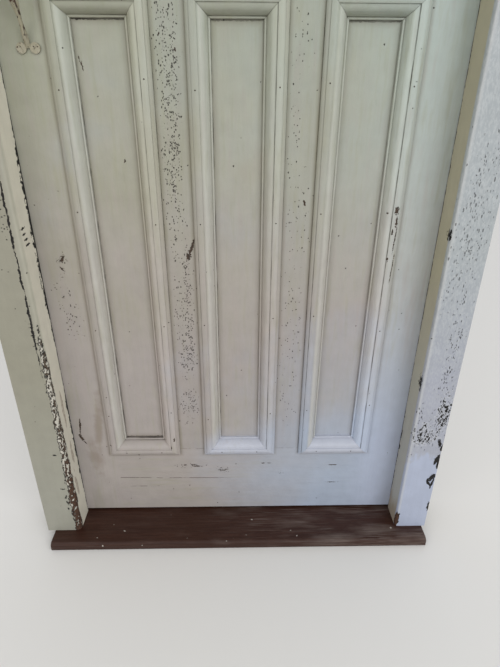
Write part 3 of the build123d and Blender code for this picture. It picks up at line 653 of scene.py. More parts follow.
def jamb_tone(finish, side, front, inward, cloudy, coarse):
    """The colour of a jamb's paint: weathered on its face; in the lock jamb's reveal it is painted lighter
    and on the round beside it darker, as painted light and shade.
    """
    ramp, mix, product = finish.ramp, finish.mix, finish.product
    y, z = finish.y, finish.z
    paint = bpy.context.scene.door_paint
    colour = mix(cloudy, paint.shaded, paint.aged)
    behind = product(finish.less(1.0, front), ramp(y, 0.003, -0.0005), inward)
    if side == "lock":
        face = mix(ramp(z, 0.1, 0.5), srgb(160, 159, 147), srgb(153, 150, 134))
        colour = mix(product(front, 0.9), colour, face)
        # Painted shade on the lock jamb's round and painted light in its reveal, evening out how they are
        # lit.
        turning = ramp(y, jamb_front + 0.0002, jamb_front + 0.0025)
        turned = ramp(y, jamb_front + 0.006, jamb_front + 0.0115)
        inner = mix(turning, srgb(160, 157, 142), srgb(179, 176, 159))
        inner = mix(turned, inner, srgb(226, 221, 204))
        return mix(product(behind, 0.9), colour, inner)
    if side == "hinge":
        reveal = mix(ramp(z, 0.7, 0.15), srgb(184, 178, 152), srgb(178, 178, 172))
        colour = mix(product(behind, 0.85), colour, reveal)
        foot = ramp(finish.total(z, finish.evenly(coarse, -0.03, 0.03)), 0.1, 0.05)
        colour = mix(product(foot, behind, 0.5), colour, srgb(150, 124, 88))
        face = mix(ramp(z, 0.75, 0.45), srgb(168, 174, 177), srgb(168, 171, 183))
        crackle = finish.noise(0.0035, 4.0, (1, 1, 2.5), 59, 0.7)
        high = ramp(z, 0.2, 0.7, 0.3, 1.0)
        face = mix(product(high, ramp(crackle, 0.45, 0.6, 0, 0.45)), face, srgb(198, 202, 202))
        repaint = finish.patch(repainted_foot, 0.1, 0.1, coarse)
        face = mix(repaint, face, srgb(178, 186, 206))
        return mix(product(front, 0.97), colour, face)
    return colour


def gap_shadow_and_tear(finish, side, coarse, tear):
    """The black band in the reveal beside the leaf: torn paint, and painted shadow of the gap between leaf
    and reveal.
    """
    ramp, product = finish.ramp, finish.product
    y, z = finish.y, finish.z
    scallop = finish.noise(0.009, 3.0, (1, 1, 1.3), 46)
    if side == "lock":
        high = product(ramp(z, 0.5, 0.62), ramp(z, 0.98, 0.9))
        low = product(ramp(z, 0.42, 0.36), ramp(z, 0.1, 0.16), 0.6)
        torn = finish.larger(high, low)
        reach = product(torn, ramp(scallop, 0.38, 0.6, 0.002, 0.0125))
    else:
        low = product(ramp(z, 0.34, 0.28), ramp(z, 0.1, 0.16))
        reach = product(low, ramp(scallop, 0.5, 0.62, 0.0, 0.006))
    reach = finish.total(reach, ramp(coarse, 0.35, 0.6, 0.0014, 0.0036), finish.evenly(tear, -0.0012, 0.0012))
    ahead = ramp(finish.total(y, reach), -0.0002, 0.0003)
    return product(ahead, ramp(y, 0.003, 0.002))


def painted_jamb(name, reveal, along_z, side):
    """The frame's paint: flaked on its weathered face, bare along its arrises, with painted shadow in the
    leaf's gap and beside torn paint, and a painted highlight on the hinge arris.
    """
    paint = bpy.context.scene.door_paint
    finish = Finish(name)
    ramp, mix, product, total, larger = finish.ramp, finish.mix, finish.product, finish.total, finish.larger
    noise, evenly, patch, flecks = finish.noise, finish.evenly, finish.patch, finish.flecks
    x, y, z = finish.x, finish.y, finish.z
    along = (1, 1, 14) if along_z else (14, 1, 1)
    clouds = noise(0.2, 4.0, shift=40)
    mottle = noise(0.028, 4.0, shift=44)
    brush = noise(0.0016, 2.0, along, 42)
    ripple = noise(0.012, 2.0, along, 45)
    tear = noise(0.004, 4.0, (1, 1, 1.8), 49)
    coarse = noise(0.016, 3.0, (1, 1, 2.2), 50)
    front = ramp(y, jamb_front + 0.0115, jamb_front + 0.0095)
    if side == "lock":
        front = product(front, ramp(x, reveal - 0.0095, reveal - 0.0125))
    inward = reveal_side(finish, side)
    if side == "hinge":
        front = product(front, larger(inward, ramp(y, jamb_front + 0.004, jamb_front + 0.002)))
    elif side == "lock":
        front = product(front, ramp(y, jamb_front + 0.004, jamb_front + 0.002))
    # Near black for the chips and torn paint, and for the painted shadows in the gap and beside torn edges.
    soot_and_shade = srgb(16, 13, 10)

    colour = jamb_tone(finish, side, front, inward, ramp(clouds, 0.3, 0.7), coarse)
    shade = total(evenly(mottle, 0.95, 1.03), evenly(ripple, -0.02, 0.02))
    colour = finish.shade(colour, shade)

    flecked = flecks(0.007, 0.03 * paint.speckle, 0.18, shift=51)
    black = []
    if side == "hinge":
        thick, thin = (patch(spots, 0.9, 0.5, coarse) for spots in hinge_jamb_flecks)
        field = product(front, larger(product(thick, 0.95), product(thin, 0.5)))
        field = product(field, ramp(coarse, 0.4, 0.56, 0.05, 1.0))
        ticks = flecks(0.0028, field, 0.45, (1, 1, 2.8), 52)
        flecked = larger(flecked, product(ticks, ramp(z, 0.5, 0.75, 1.0, 0.75)))
        scaly = noise(0.0042, 4.0, (1, 1, 1.7), 53, 0.7)
        scaly = total(scaly, ramp(patch(hinge_jamb_scales, 0.8, 0.4, coarse), 0, 1, -0.3, 0.09))
        black.append(product(front, ramp(scaly, 0.6, 0.62)))
        black.append(patch(hinge_jamb_chips, 0.1, 0.5, tear))
        pale = product(front, ramp(scaly, 0.5, 0.55))
        colour = mix(product(pale, 0.6), colour, srgb(206, 208, 212))
    elif side == "lock":
        field = product(front, patch(lock_jamb_flecks, 0.9, 0.5, coarse), 0.35)
        flecked = larger(flecked, flecks(0.003, field, 0.36, (1.8, 1, 1), 52))
        black.append(product(front, patch(lock_jamb_chips, 0.12, 0.9, tear)))
        black.append(patch(hatched_reveal, 0.3, 0.6, tear))
        peeled = patch(peeled_reveal, 0.1, 0.9, coarse)
        colour = mix(product(peeled, ramp(tear, 0.4, 0.55, 0.3, 0.7)), colour, srgb(140, 118, 100))
        # Above the bared strip, the old coats end in a jagged line beside the arris.
        jagged = total(x, evenly(coarse, -0.002, 0.002), evenly(tear, -0.0014, 0.0014))
        width = ramp(noise(0.014, 3.0, shift=47), 0.34, 0.6, 0.0005, 0.0028)
        width = product(width, ramp(z, 0.47, 0.55), ramp(z, 1.15, 1.05))
        off = finish.apart(jagged, reveal - 0.0138)
        black.append(product(front, ramp(finish.less(width, off), -0.0001, 0.0003)))

    # The arris is bared in a torn strip that widens towards the foot.
    off_x = finish.less(x, reveal)
    off_y = finish.less(y, jamb_front)
    spread = finish.maths("SQRT", total(product(off_x, off_x), product(off_y, off_y)))
    if side == "lock":
        reach = total(ramp(z, 0.45, 0.16, 0.009, 0.0125), evenly(coarse, -0.004, 0.004))
        reach = product(reach, ramp(z, 0.66, 0.5))
    elif side == "hinge":
        reach = total(ramp(z, 0.09, 0.04, 0.0, 0.01), ramp(coarse, 0.35, 0.7, -0.006, 0.003))
        # A painted highlight along the hinge jamb's arris.
        bright = product(ramp(spread, 0.008, 0.0042), ramp(off_x, 0.0015, 0.003), 0.4)
        colour = mix(bright, colour, srgb(234, 236, 236))
    else:
        reach = ramp(coarse, 0.45, 0.7, -0.004, 0.004)
    inside = total(finish.less(reach, spread), evenly(tear, -0.0025, 0.0025))
    strip = ramp(inside, -0.0002, 0.0002)
    # A dark rim round the bared strip: painted shadow of the torn paint's edge.
    torn_edge_shadow = product(ramp(inside, -0.0009, -0.0004), ramp(inside, 0.0016, 0.0008))
    fibre = noise(0.0011, 3.0, along, 58)
    bare = mix(ramp(fibre, 0.35, 0.65), srgb(54, 37, 27), srgb(96, 67, 49))
    if side == "lock":
        bare = mix(product(ramp(z, 0.2, 0.35), 0.7), bare, srgb(92, 82, 68))
        flakes = noise(0.0048, 4.0, (1, 1, 2.2), 56)
        lower = ramp(z, 0.1, 0.3, -0.07, 0.03)
        flakes = total(flakes, lower, ramp(off_y, 0.002, 0.006, 0.0, -0.04))
        left_behind = ramp(flakes, 0.5, 0.52)
        flake_edge = ramp(finish.apart(flakes, 0.485), 0.027, 0.014)
        crazed = larger(flake_edge, flecks(0.0034, 0.55, 0.4, (1, 1, 1.7), 55))
        black.append(product(strip, crazed, 0.9))
        colour = mix(product(strip, left_behind, 0.85), colour, srgb(206, 201, 188))
        strip = product(strip, finish.less(1.0, left_behind))
    colour = mix(strip, colour, bare)

    # The black band beside the leaf: torn paint and painted shadow of the gap.
    line = product(gap_shadow_and_tear(finish, side, coarse, tear), inward)
    dark = larger(product(torn_edge_shadow, 0.9), *black, product(flecked, 0.85), line)
    colour = mix(dark, colour, soot_and_shade)
    gone = larger(strip, flecked, line, *black)
    swell = finish.relief((brush, 0.00007), (ripple, 0.0003), (mottle, 0.0007))
    height = total(swell, product(gone, -paint.film))
    roughness = total(evenly(mottle, 0.44, 0.58), product(gone, 0.3))
    return finish.give(colour, roughness, height)


def stained_timber(name):
    """Dark stained board: long grain, rubbed nosing, fine scratches and dust, growing lighter towards the
    hinge end as painted sheen.
    """
    timber = bpy.context.scene.door_timber
    finish = Finish(name)
    ramp, mix, product, noise = finish.ramp, finish.mix, finish.product, finish.noise
    x = finish.x
    grain = noise(0.004, 4.0, (22, 1, 1), 60)
    figure = noise(0.02, 3.0, (16, 1, 1), 61)
    pores = noise(0.0007, 2.0, (18, 1, 1), 62)
    cloud = noise(0.07, 3.0, (2, 1, 1), 63)
    scratch = noise(0.0016, 2.0, (60, 1, 1), 64)
    scuff = noise(0.045, 4.0, (3, 1, 1), 65)

    colour = mix(ramp(grain, 0.3, 0.7), timber.stain, timber.stain_light)
    colour = mix(ramp(figure, 0.35, 0.7, 0.65, 0.0), colour, timber.stain)
    colour = finish.shade(colour, ramp(pores, 0.3, 0.6, 0.75, 1.06))
    nosing = ramp(finish.y, -0.093, -0.104)
    # The rubbed nosing, scratches and dust grow towards the hinge end, where they also paint the sheen of the
    # stain.
    worn = product(nosing, ramp(cloud, 0.3, 0.65), ramp(x, -0.3, 0.4, 0.25, 1.0))
    colour = mix(product(worn, 0.06), colour, srgb(118, 108, 102))
    lines = product(ramp(scratch, 0.56, 0.64), ramp(cloud, 0.38, 0.55), ramp(x, -0.1, 0.4, 0.15, 1.3))
    colour = mix(product(lines, 0.45), colour, timber.dust)
    dust_and_sheen = product(ramp(scuff, 0.5, 0.75), ramp(x, -0.3, 0.45, 0.1, 1.0))
    colour = mix(product(dust_and_sheen, 0.38), colour, timber.dust)
    specks = finish.flecks(0.016, 0.12, 0.09, shift=66)
    colour = mix(specks, colour, srgb(178, 172, 162))
    height = finish.total(
        ramp(grain, 0.2, 0.8, 0, 0.00025),
        ramp(pores, 0.3, 0.6, 0, 0.00008),
        product(lines, -0.00012),
        product(specks, 0.0004),
    )
    roughness = finish.total(finish.evenly(cloud, 0.34, 0.5), product(dust_and_sheen, 0.25), product(worn, 0.12))
    finish.shader.inputs["Specular IOR Level"].default_value = 0.28
    return finish.give(colour, roughness, height)


def sawn_softwood(name):
    """Bare softwood, end grain outwards."""
    timber = bpy.context.scene.door_timber
    finish = Finish(name)
    noise, evenly = finish.noise, finish.evenly
    rings = noise(0.0028, 2.0, (6, 1, 1), 70)
    fibre = noise(0.0006, 2.0, (10, 1, 1), 71)
    soil = noise(0.012, 3.0, shift=72)
    colour = finish.mix(finish.ramp(rings, 0.35, 0.65), timber.softwood, srgb(132, 94, 58))
    colour = finish.mix(finish.ramp(soil, 0.45, 0.7, 0, 0.6), colour, srgb(92, 72, 52))
    height = finish.total(evenly(rings, 0, 0.00015), evenly(fibre, 0, 0.00006))
    return finish.give(colour, evenly(fibre, 0.6, 0.8), height)


def metal(name, base, worn, rust_amount, roughness, metallic, edge=0.0006):
    """Cast or pressed metal: an even skin, rubbed edges and a little rust in the hollows."""
    settings = bpy.context.scene.door_metal
    finish = Finish(name)
    ramp, product, noise = finish.ramp, finish.product, finish.noise
    cast = noise(0.0012, 2.0, shift=80)
    cloud = noise(0.02, 4.0, shift=81)
    bloom = noise(0.006, 5.0, shift=82, roughness=0.65)
    rubbed = finish.worn_edges(edge)
    rubbed = product(rubbed, ramp(cloud, 0.35, 0.6))
    rust = product(ramp(bloom, 0.62 - 0.2 * rust_amount, 0.7), rust_amount)
    colour = finish.shade(base, finish.evenly(cloud, 0.86, 1.1))
    colour = finish.mix(product(rubbed, 0.8), colour, worn)
    colour = finish.mix(rust, colour, settings.rust)
    rough = finish.total(finish.evenly(cloud, roughness - 0.07, roughness + 0.07), product(rust, 0.3))
    height = finish.total(ramp(cast, 0.2, 0.8, 0, 0.00008), product(rust, 0.00015))
    shine = finish.less(metallic, product(rust, metallic))
    return finish.give(colour, rough, height, shine)


def painted_iron(name):
    """Iron under many coats of cream paint, chipped to black, with a painted shadow down one side of the
    stem.
    """
    paint = bpy.context.scene.door_paint
    finish = Finish(name)
    ramp, mix, product, total, noise = finish.ramp, finish.mix, finish.product, finish.total, finish.noise
    y = finish.y
    handle_x = (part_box("pull_handle")[0][0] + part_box("pull_handle")[1][0]) / 2
    mottle = noise(0.01, 4.0, shift=90)
    tear = noise(0.004, 4.0, shift=91)
    brush = noise(0.0012, 2.0, (1, 1, 8), 92)
    colour = mix(ramp(mottle, 0.3, 0.7), srgb(152, 146, 122), srgb(168, 162, 142))
    grip = ramp(y, -0.03, -0.045)
    worn = ramp(total(tear, product(grip, 0.08)), 0.62, 0.64)
    spots = [((handle_x - 0.001, -0.05, 1.146), (0.007, 0.02, 0.011), 0.3)]
    worn = finish.larger(worn, finish.patch(spots, 0.2, 0.6, tear), finish.flecks(0.006, 0.05, 0.2, shift=93))
    # A dark line down the stem's side: painted shadow along its edge.
    beside = finish.less(finish.x, handle_x)
    stem_shadow = product(ramp(beside, 0.0018, 0.0026), ramp(beside, 0.0048, 0.0038))
    stem_shadow = product(stem_shadow, ramp(y, -0.009, -0.014), ramp(mottle, 0.4, 0.5))
    worn = finish.larger(worn, stem_shadow)
    black = mix(ramp(mottle, 0.4, 0.6), srgb(26, 23, 20), srgb(74, 48, 32))
    colour = mix(worn, colour, black)
    foot = product(ramp(y, -0.0024, -0.0006), 0.7)
    colour = mix(foot, colour, paint.dirt_and_shade)
    height = total(
        ramp(mottle, 0.2, 0.8, 0, 0.0006), finish.evenly(brush, 0, 0.00006),
        product(worn, -0.0005),
    )
    roughness = total(finish.evenly(mottle, 0.36, 0.5), product(worn, 0.2))
    return finish.give(colour, roughness, height)


def stage_finish(name, seen, bounced):
    """The floor: pale to the camera and in reflections, and quieter in the light it sends back up."""
    finish = Finish(name)
    path = finish.nodes.new("ShaderNodeLightPath")
    direct = path.outputs["Is Camera Ray"]
    for ray in ("Is Glossy Ray", "Is Transmission Ray"):
        direct = finish.larger(direct, path.outputs[ray])
    return finish.give(finish.mix(direct, bounced, seen), 0.8)


def soft_sky():
    """An even pale sky, a little brighter overhead."""
    world = bpy.data.worlds.new("world")
    world.use_nodes = True
    nodes = world.node_tree.nodes
    links = world.node_tree.links
    place = nodes.new("ShaderNodeTexCoord").outputs["Generated"]
    split = nodes.new("ShaderNodeSeparateXYZ")
    height = nodes.new("ShaderNodeMapRange")
    links.new(place, split.inputs[0])
    links.new(split.outputs["Z"], height.inputs[0])
    for index, value in ((1, -0.1), (2, 0.9), (3, 0.62), (4, 0.86)):
        height.inputs[index].default_value = value
    background = nodes["Background"]
    background.inputs["Color"].default_value = (0.97, 0.98, 1.0, 1)
    links.new(height.outputs[0], background.inputs["Strength"])
    return world


def dress(names, material):
    """Gives CAD nodes a finish."""
    for name in names:
        mesh = cad_nodes[name].data
        mesh.materials.clear()
        mesh.materials.append(material)


# Shaping pieces

def deselect():
    bpy.ops.object.select_all(action="DESELECT")


def pick(piece):
    deselect()
    piece.select_set(True)
    bpy.context.view_layer.objects.active = piece


def edit(piece, action="SELECT"):
    """Opens a piece in edit mode, with all of it selected or nothing."""
    pick(piece)
    bpy.ops.object.mode_set(mode="EDIT")
    bpy.ops.mesh.select_all(action=action)


def edit_only(piece, parts, indices):
    """Opens a piece in edit mode, with some of its vertices or polygons selected."""
    edit(piece, "DESELECT")
    close()
    for index in indices:
        getattr(piece.data, parts)[index].select = True
    bpy.ops.object.mode_set(mode="EDIT")


def close():
    bpy.ops.object.mode_set(mode="OBJECT")


def added(name, data):
    """A new object in the scene."""
    piece = bpy.data.objects.new(name, data)
    bpy.context.scene.collection.objects.link(piece)
    return piece


def scaled(size):
    """The primitive just added, at its size."""
    piece = bpy.context.object
    piece.scale = size
    bpy.ops.object.transform_apply(location=False, rotation=False, scale=True)
    return piece


def dressed_copy(node, name):
    """A merged copy of a CAD node, to be worn down and to stand for it."""
    piece = added(name, cad_nodes[node].data.copy())
    edit(piece)
    bpy.ops.mesh.remove_doubles(threshold=0.00001)
    bpy.ops.mesh.dissolve_limited(angle_limit=math.radians(0.5))
    close()
    return piece


def finish_piece(piece, body, slot, material):
    """Places, smooths and hands over a finished piece."""
    pick(piece)
    bpy.ops.object.transform_apply(location=True, rotation=True, scale=True)
    bpy.ops.object.shade_smooth_by_angle(angle=math.radians(30))
    piece.data.materials.clear()
    piece.data.materials.append(material)
    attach(piece, body)


def split_level(piece, level):
    """Adds a ring of edges at a level, so what is torn below it leaves the faces above alone."""
    edit(piece)
    bpy.ops.mesh.bisect(plane_co=(0, 0, level), plane_no=(0, 0, 1))
    close()


def even_shading(piece, angle):
    """Smooths the round parts and keeps the broad flat faces flat."""
    pick(piece)
    bpy.ops.object.shade_smooth_by_angle(angle=math.radians(angle))
    weights = piece.modifiers.new("weights", "WEIGHTED_NORMAL")
    weights.keep_sharp = True
    weights.weight = 100
    bpy.ops.object.modifier_apply(modifier="weights")


def cut_away(piece, cutter):
    """Takes a cutter's shape out of a piece."""
    pick(piece)
    tool = piece.modifiers.new("cut", "BOOLEAN")
    tool.operation = "DIFFERENCE"
    tool.solver = "EXACT"
    tool.object = cutter
    bpy.ops.object.modifier_apply(modifier="cut")
    bpy.data.objects.remove(cutter, do_unlink=True)


def worn_round(piece, corner, away):
    """Brings the hollow along an upright arris out to the round that wear leaves there.

    A point of the hollow that lies u and v from the corner moves to its mirror image in the chord.
    """
    edge = [vertex.co for vertex in piece.data.vertices if abs(vertex.co.y - corner[1]) < 0.00001]
    radius = min(abs(place.x - corner[0]) for place in edge)
    columns = {}
    for vertex in piece.data.vertices:
        u = (vertex.co.x - corner[0]) * away
        v = vertex.co.y - corner[1]
        if min(u, v) > 0.00001 and abs(math.hypot(u, v) - radius) < 0.00005:
            columns.setdefault((round(u, 5), round(v, 5)), []).append(vertex.index)
    for (u, v), indices in columns.items():
        edit_only(piece, "vertices", indices)
        bpy.ops.transform.translate(value=(away * (radius - u - v), radius - u - v, 0))
        close()
    return radius


def broken_edge_cutter(corner, outward, span, depth, inside):
    """A torn strip that runs along an upright arris, to be cut away from it.

    Its torn side lies some way inside the corner, and clouds of two sizes push it in and out.
    """
    low, high = span
    length = high - low
    width = 0.026
    thickness = 0.02
    steps = int(length / 0.004)
    deselect()
    bpy.ops.mesh.primitive_grid_add(x_subdivisions=steps, y_subdivisions=8, size=1, location=(0, 0, 0))
    cutter = scaled((length, width, 1))
    edit(cutter)
    bpy.ops.mesh.extrude_region_move(TRANSFORM_OT_translate={"value": (0, 0, thickness)})
    bpy.ops.mesh.select_all(action="SELECT")
    bpy.ops.mesh.normals_make_consistent(inside=False)
    close()
    out = Vector(outward).normalized()
    up = Vector((0, 0, 1))
    side = out.cross(up)
    turn = Matrix((up, side, out)).transposed().to_4x4()
    if turn.determinant() < 0:
        turn = Matrix((up, -side, out)).transposed().to_4x4()
    middle = Vector((corner[0], corner[1], (low + high) / 2)) - out * inside
    cutter.data.transform(Matrix.Translation(middle) @ turn)
    for name, cloud, strength in (("large", 0.03, depth * 1.6), ("small", 0.007, depth * 0.9)):
        texture = bpy.data.textures.new(f"tear_{name}", "CLOUDS")
        texture.noise_scale = cloud
        push = cutter.modifiers.new(name, "DISPLACE")
        push.texture = texture
        push.texture_coords = "LOCAL"
        push.mid_level = 0.5
        push.strength = strength
        pick(cutter)
        bpy.ops.object.modifier_apply(modifier=name)
    return cutter


def slotted(node, piece_name, body, slot, material, outward):
    """Copies a group of countersunk screws and cuts a slot across each head."""
    settings = bpy.context.scene.door_metal
    piece = dressed_copy(node, piece_name)
    centres = screw_heads(piece, outward)
    axis = Vector(outward)
    draw = random.Random(len(node))
    for centre in centres:
        deselect()
        bpy.ops.mesh.primitive_cube_add(size=1, location=(0, 0, 0))
        blade = scaled((0.012, settings.slot_width, 0.0018))
        turn = axis.to_track_quat("Z", "Y").to_matrix().to_4x4()
        spin = Matrix.Rotation(draw.uniform(0, math.pi), 4, "Z")
        blade.data.transform(Matrix.Translation(centre) @ turn @ spin)
        cut_away(piece, blade)
    finish_piece(piece, body, slot, material)
    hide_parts(node)


def screw_heads(piece, outward):
    """The middle of each screw's head: one for each flat disc that faces outwards."""
    axis = Vector(outward)
    centres = []
    for face in piece.data.polygons:
        if face.normal.dot(axis) > 0.99 and face.area > 0.00001:
            centres.append(face.center.copy())
    return centres


# One operator for each piece or group of like pieces

class FRONTDOOR_OT_leaf(bpy.types.Operator):
    """Paint the stiles, rails and muntins"""

    bl_idname = "front_door.leaf"
    bl_label = "Paint the leaf"

    def execute(self, context):
        uprights = ["lock_stile", "hinge_stile"]
        uprights += [f"{row}_{side}_muntin" for row in rows for side in ("lock_side", "hinge_side")]
        for name in uprights:
            dress([name], painted_timber(f"paint_{name}", "Z", name))
        dress(["bottom_rail"], painted_timber("paint_bottom_rail", "X", "bottom_rail"))
        dress(["lock_rail", "top_rail"], painted_timber("paint_rails", "X"))
        return {"FINISHED"}


class FRONTDOOR_OT_panels(bpy.types.Operator):
    """Paint the panels and their mouldings"""

    bl_idname = "front_door.panels"
    bl_label = "Paint the panels"

    def execute(self, context):
        for column in columns:
            panel_paint = painted_timber(f"paint_{column}_panels", "Z", "panels", column)
            moulding_paint = painted_timber(f"paint_{column}_mouldings", "Z", "mouldings", column)
            dress([f"{row}_{column}_panel" for row in rows], panel_paint)
            dress([f"{row}_{column}_outer_moulding" for row in rows], moulding_paint)
        inner_paint = painted_timber("paint_inner_mouldings")
        dress([f"{row}_{column}_inner_moulding" for row in rows for column in columns], inner_paint)
        return {"FINISHED"}


class FRONTDOOR_OT_nails(bpy.types.Operator):
    """Nail the mouldings to the leaf"""

    bl_idname = "front_door.nails"
    bl_label = "Nail the mouldings"

    def execute(self, context):
        settings = context.scene.door_metal
        radius = settings.nail_radius
        from_edge = 0.002
        scatter = 0.02
        proud = 0.00015
        material = metal("nail_iron", srgb(52, 40, 32), srgb(96, 84, 74), 0.5, 0.6, 0.5)
        deselect()
        bpy.ops.mesh.primitive_cylinder_add(vertices=12, radius=radius, depth=0.0008, location=(0, 0, 0))
        head = bpy.context.object
        tops = [face.index for face in head.data.polygons if face.normal.z > 0.9]
        edit_only(head, "polygons", tops)
        bpy.ops.mesh.inset(thickness=radius * 0.35, depth=-0.00012)
        close()
        head.data.transform(Matrix.Rotation(math.radians(90), 4, "X"))
        draw = random.Random(7)
        lip_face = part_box("lower_middle_outer_moulding")[0][1]
        for row in rows:
            for column in columns:
                (x, z), (half_width, half_height) = opening(row, column)
                places = []
                count = int(2 * half_height / settings.nail_spacing)
                for side in (-1, 1):
                    for step in range(count):
                        level = z - half_height + (step + 0.5) * 2 * half_height / count
                        across = x + side * (half_width + from_edge)
                        places.append((across, level + draw.uniform(-scatter, scatter)))
                    for step in (-1, 1):
                        places.append((x + step * half_width * 0.6, z + side * (half_height + from_edge)))
                copies = []
                for across, level in places:
                    copy = added("nail", head.data.copy())
                    copy.data.transform(Matrix.Translation((across, lip_face + proud, level)))
                    copies.append(copy)
                deselect()
                for copy in copies:
                    copy.select_set(True)
                context.view_layer.objects.active = copies[0]
                bpy.ops.object.join()
                copies[0].name = f"{row}_{column}_moulding_nails"
                finish_piece(copies[0], "leaf", "latch_steel", material)
        bpy.data.objects.remove(head, do_unlink=True)
        return {"FINISHED"}


class FRONTDOOR_OT_jambs(bpy.types.Operator):
    """Break the jambs' arrises and flake their paint"""

    bl_idname = "front_door.jambs"
    bl_label = "Wear the jambs"

    def execute(self, context):
        depth = context.scene.door_timber.arris_wear
        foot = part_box("lock_jamb")[0][2]
        outer_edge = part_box("hinge_jamb")[1][0]
        flattest_round = 14
        no_reveal = 5
        jambs = (
            ("lock_jamb", lock_reveal, -1, 0.5, depth * 0.6),
            ("hinge_jamb", hinge_reveal, 1, 0.3, depth * 0.35),
        )
        for node, reveal, away, top, bite in jambs:
            piece = dressed_copy(node, f"worn_{node}")
            corner = (reveal, jamb_front)
            radius = worn_round(piece, corner, away)
            split_level(piece, top + 0.02)
            inside = radius * (math.sqrt(2) - 1) - 0.0004
            worn = (foot - 0.01, top)
            cut_away(piece, broken_edge_cutter(corner, (-away, -1, 0), worn, bite, inside))
            if node == "hinge_jamb":
                torn = (foot + 0.05, 0.36)
                outer_corner = (outer_edge, jamb_front)
                cut_away(piece, broken_edge_cutter(outer_corner, (1, -1, 0), torn, depth * 1.2, -0.0006))
            material = painted_jamb(f"paint_{node}", reveal, True, node.split("_")[0])
            finish_piece(piece, "frame", "frame_paint", material)
            even_shading(piece, flattest_round)
            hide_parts(node)
        dress(["head_jamb"], painted_jamb("paint_head_jamb", no_reveal, False, "head"))
        return {"FINISHED"}


class FRONTDOOR_OT_threshold(bpy.types.Operator):
    """Stain and scuff the threshold"""

    bl_idname = "front_door.threshold"
    bl_label = "Stain the threshold"

    def execute(self, context):
        dress(["threshold"], stained_timber("stained_threshold"))
        dress(["tenon_wedges"], sawn_softwood("wedge_softwood"))
        return {"FINISHED"}


class FRONTDOOR_OT_ironwork(bpy.types.Operator):
    """Finish the hinges, the pull handle, the latch and all their screws"""

    bl_idname = "front_door.ironwork"
    bl_label = "Finish the ironwork"

    def execute(self, context):
        settings = context.scene.door_metal
        steel = metal("hinge_steel", settings.steel, srgb(176, 174, 170), 0.45, 0.42, 0.9)
        screw_steel = metal("screw_steel", srgb(112, 106, 98), srgb(168, 164, 156), 0.7, 0.45, 0.85)
        iron = metal("japanned_iron", settings.iron, srgb(104, 98, 92), 0.12, 0.36, 0.2)
        brass = metal("aged_brass", settings.brass, srgb(206, 176, 112), 0.0, 0.3, 1.0)
        bright = metal("latch_steel", srgb(150, 148, 144), srgb(190, 188, 184), 0.2, 0.34, 1.0)
        for level in ("top", "middle", "bottom"):
            dress([f"{level}_hinge_{part}" for part in ("jamb_plate", "leaf_plate", "pin")], steel)
        handle_paint = painted_iron("painted_handle_iron")
        dress(["pull_handle"], handle_paint)
        dress(["latch_case", "latch_keeper"], iron)
        dress(["latch_bolt", "turn_knob", "latch_snib"], brass)
        dress(["latch_cylinder", "cylinder_ring", "cylinder_plug"], brass)
        dress(["latch_cam", "latch_spring"], bright)
        for node, name, body, slot, material, outward in (
            ("hinge_jamb", "hinge_jamb", "frame", "hinge_steel", screw_steel, (-1, 0, 0)),
            ("hinge_leaf", "hinge_leaf", "leaf", "hinge_steel", screw_steel, (1, 0, 0)),
            ("pull_handle", "handle", "leaf", "handle_iron", handle_paint, (0, -1, 0)),
            ("latch_case", "latch_case", "leaf", "latch_steel", screw_steel, (0, 1, 0)),
            ("latch_keeper", "keeper", "frame", "latch_steel", screw_steel, (0, 1, 0)),
        ):
            slotted(f"{node}_screws", f"slotted_{name}_screws", body, slot, material, outward)
        return {"FINISHED"}


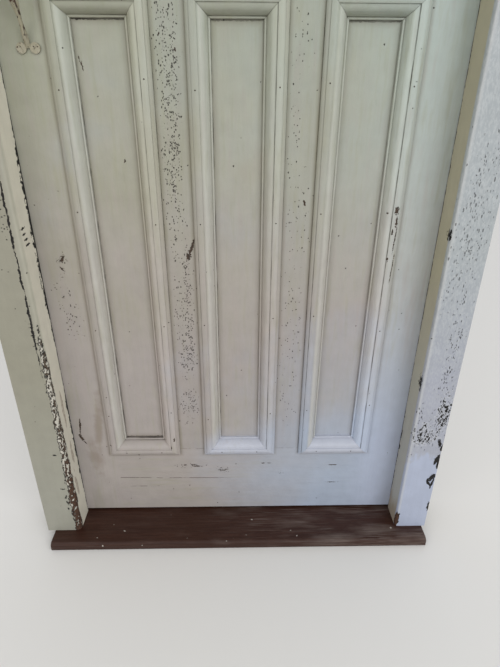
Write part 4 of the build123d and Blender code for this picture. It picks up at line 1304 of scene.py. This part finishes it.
class FRONTDOOR_OT_stage(bpy.types.Operator):
    """Set up the floor, the lights and the camera"""

    bl_idname = "front_door.stage"
    bl_label = "Set up the stage"

    def execute(self, context):
        settings = context.scene.door_stage
        deselect()
        bpy.ops.mesh.primitive_plane_add(size=settings.floor_size, location=(0, 0, 0))
        floor = context.object
        floor.name = "stage_floor"
        floor.data.materials.append(stage_finish("stage_floor", srgb(226, 224, 220), srgb(170, 166, 160)))

        pitch, yaw, roll = settings.camera_pitch, settings.camera_yaw, settings.camera_roll
        forward = Vector((math.sin(yaw) * math.cos(pitch), math.cos(yaw) * math.cos(pitch), -math.sin(pitch)))
        level_right = Vector((math.cos(yaw), -math.sin(yaw), 0))
        level_up = level_right.cross(forward)
        right = level_right * math.cos(roll) + level_up * math.sin(roll)
        up = level_up * math.cos(roll) - level_right * math.sin(roll)
        turn = Matrix((right, up, -forward)).transposed()
        camera = added("camera", bpy.data.cameras.new("camera"))
        camera.matrix_world = Matrix.Translation(camera_place) @ turn.to_4x4()
        camera.data.sensor_fit = "VERTICAL"
        camera.data.sensor_height = 36
        camera.data.lens = 36 * 500 / 667
        context.scene.camera = camera

        context.scene.world = soft_sky()
        lights = (
            ("key_light", (3.7, -5.8, 3.5), 4.4, settings.key_power, (0.95, 0.975, 1.0)),
            ("fill_light", (-4.0, -5.0, 2.4), 3.0, settings.fill_power, (1.0, 0.96, 0.88)),
        )
        for name, place, size, power, colour in lights:
            light = added(name, bpy.data.lights.new(name, "AREA"))
            light.data.size = size
            light.data.energy = power
            light.data.color = colour
            light.location = place
            light.rotation_euler = (Vector((0, 0, 0.7)) - Vector(place)).to_track_quat("-Z", "Y").to_euler()
        context.scene.view_settings.view_transform = "Standard"
        return {"FINISHED"}


class FRONTDOOR_PT_sidebar(bpy.types.Panel):
    """Lists the door's settings and operators."""

    bl_idname = "FRONTDOOR_PT_sidebar"
    bl_label = "Front door"
    bl_space_type = "VIEW_3D"
    bl_region_type = "UI"
    bl_category = "Front door"

    def draw(self, context):
        for settings in settings_groups:
            group = getattr(context.scene, settings)
            box = self.layout.box()
            for name in group.__annotations__:
                box.prop(group, name)
        for operator in operators:
            self.layout.operator(operator.bl_idname)


operators = (
    FRONTDOOR_OT_stage,
    FRONTDOOR_OT_leaf,
    FRONTDOOR_OT_panels,
    FRONTDOOR_OT_nails,
    FRONTDOOR_OT_jambs,
    FRONTDOOR_OT_threshold,
    FRONTDOOR_OT_ironwork,
)
settings_groups = {
    "door_paint": PaintSettings,
    "door_timber": TimberSettings,
    "door_metal": MetalSettings,
    "door_stage": StageSettings,
}


def register():
    for name, group in settings_groups.items():
        bpy.utils.register_class(group)
        setattr(bpy.types.Scene, name, PointerProperty(type=group))
    for operator in operators:
        bpy.utils.register_class(operator)
    bpy.utils.register_class(FRONTDOOR_PT_sidebar)


def unregister():
    bpy.utils.unregister_class(FRONTDOOR_PT_sidebar)
    for operator in reversed(operators):
        bpy.utils.unregister_class(operator)
    for name, group in settings_groups.items():
        delattr(bpy.types.Scene, name)
        bpy.utils.unregister_class(group)


def main():
    register()
    bpy.ops.front_door.stage()
    bpy.ops.front_door.leaf()
    bpy.ops.front_door.panels()
    bpy.ops.front_door.nails()
    bpy.ops.front_door.jambs()
    bpy.ops.front_door.threshold()
    bpy.ops.front_door.ironwork()


if __name__ == "__main__":
    main()
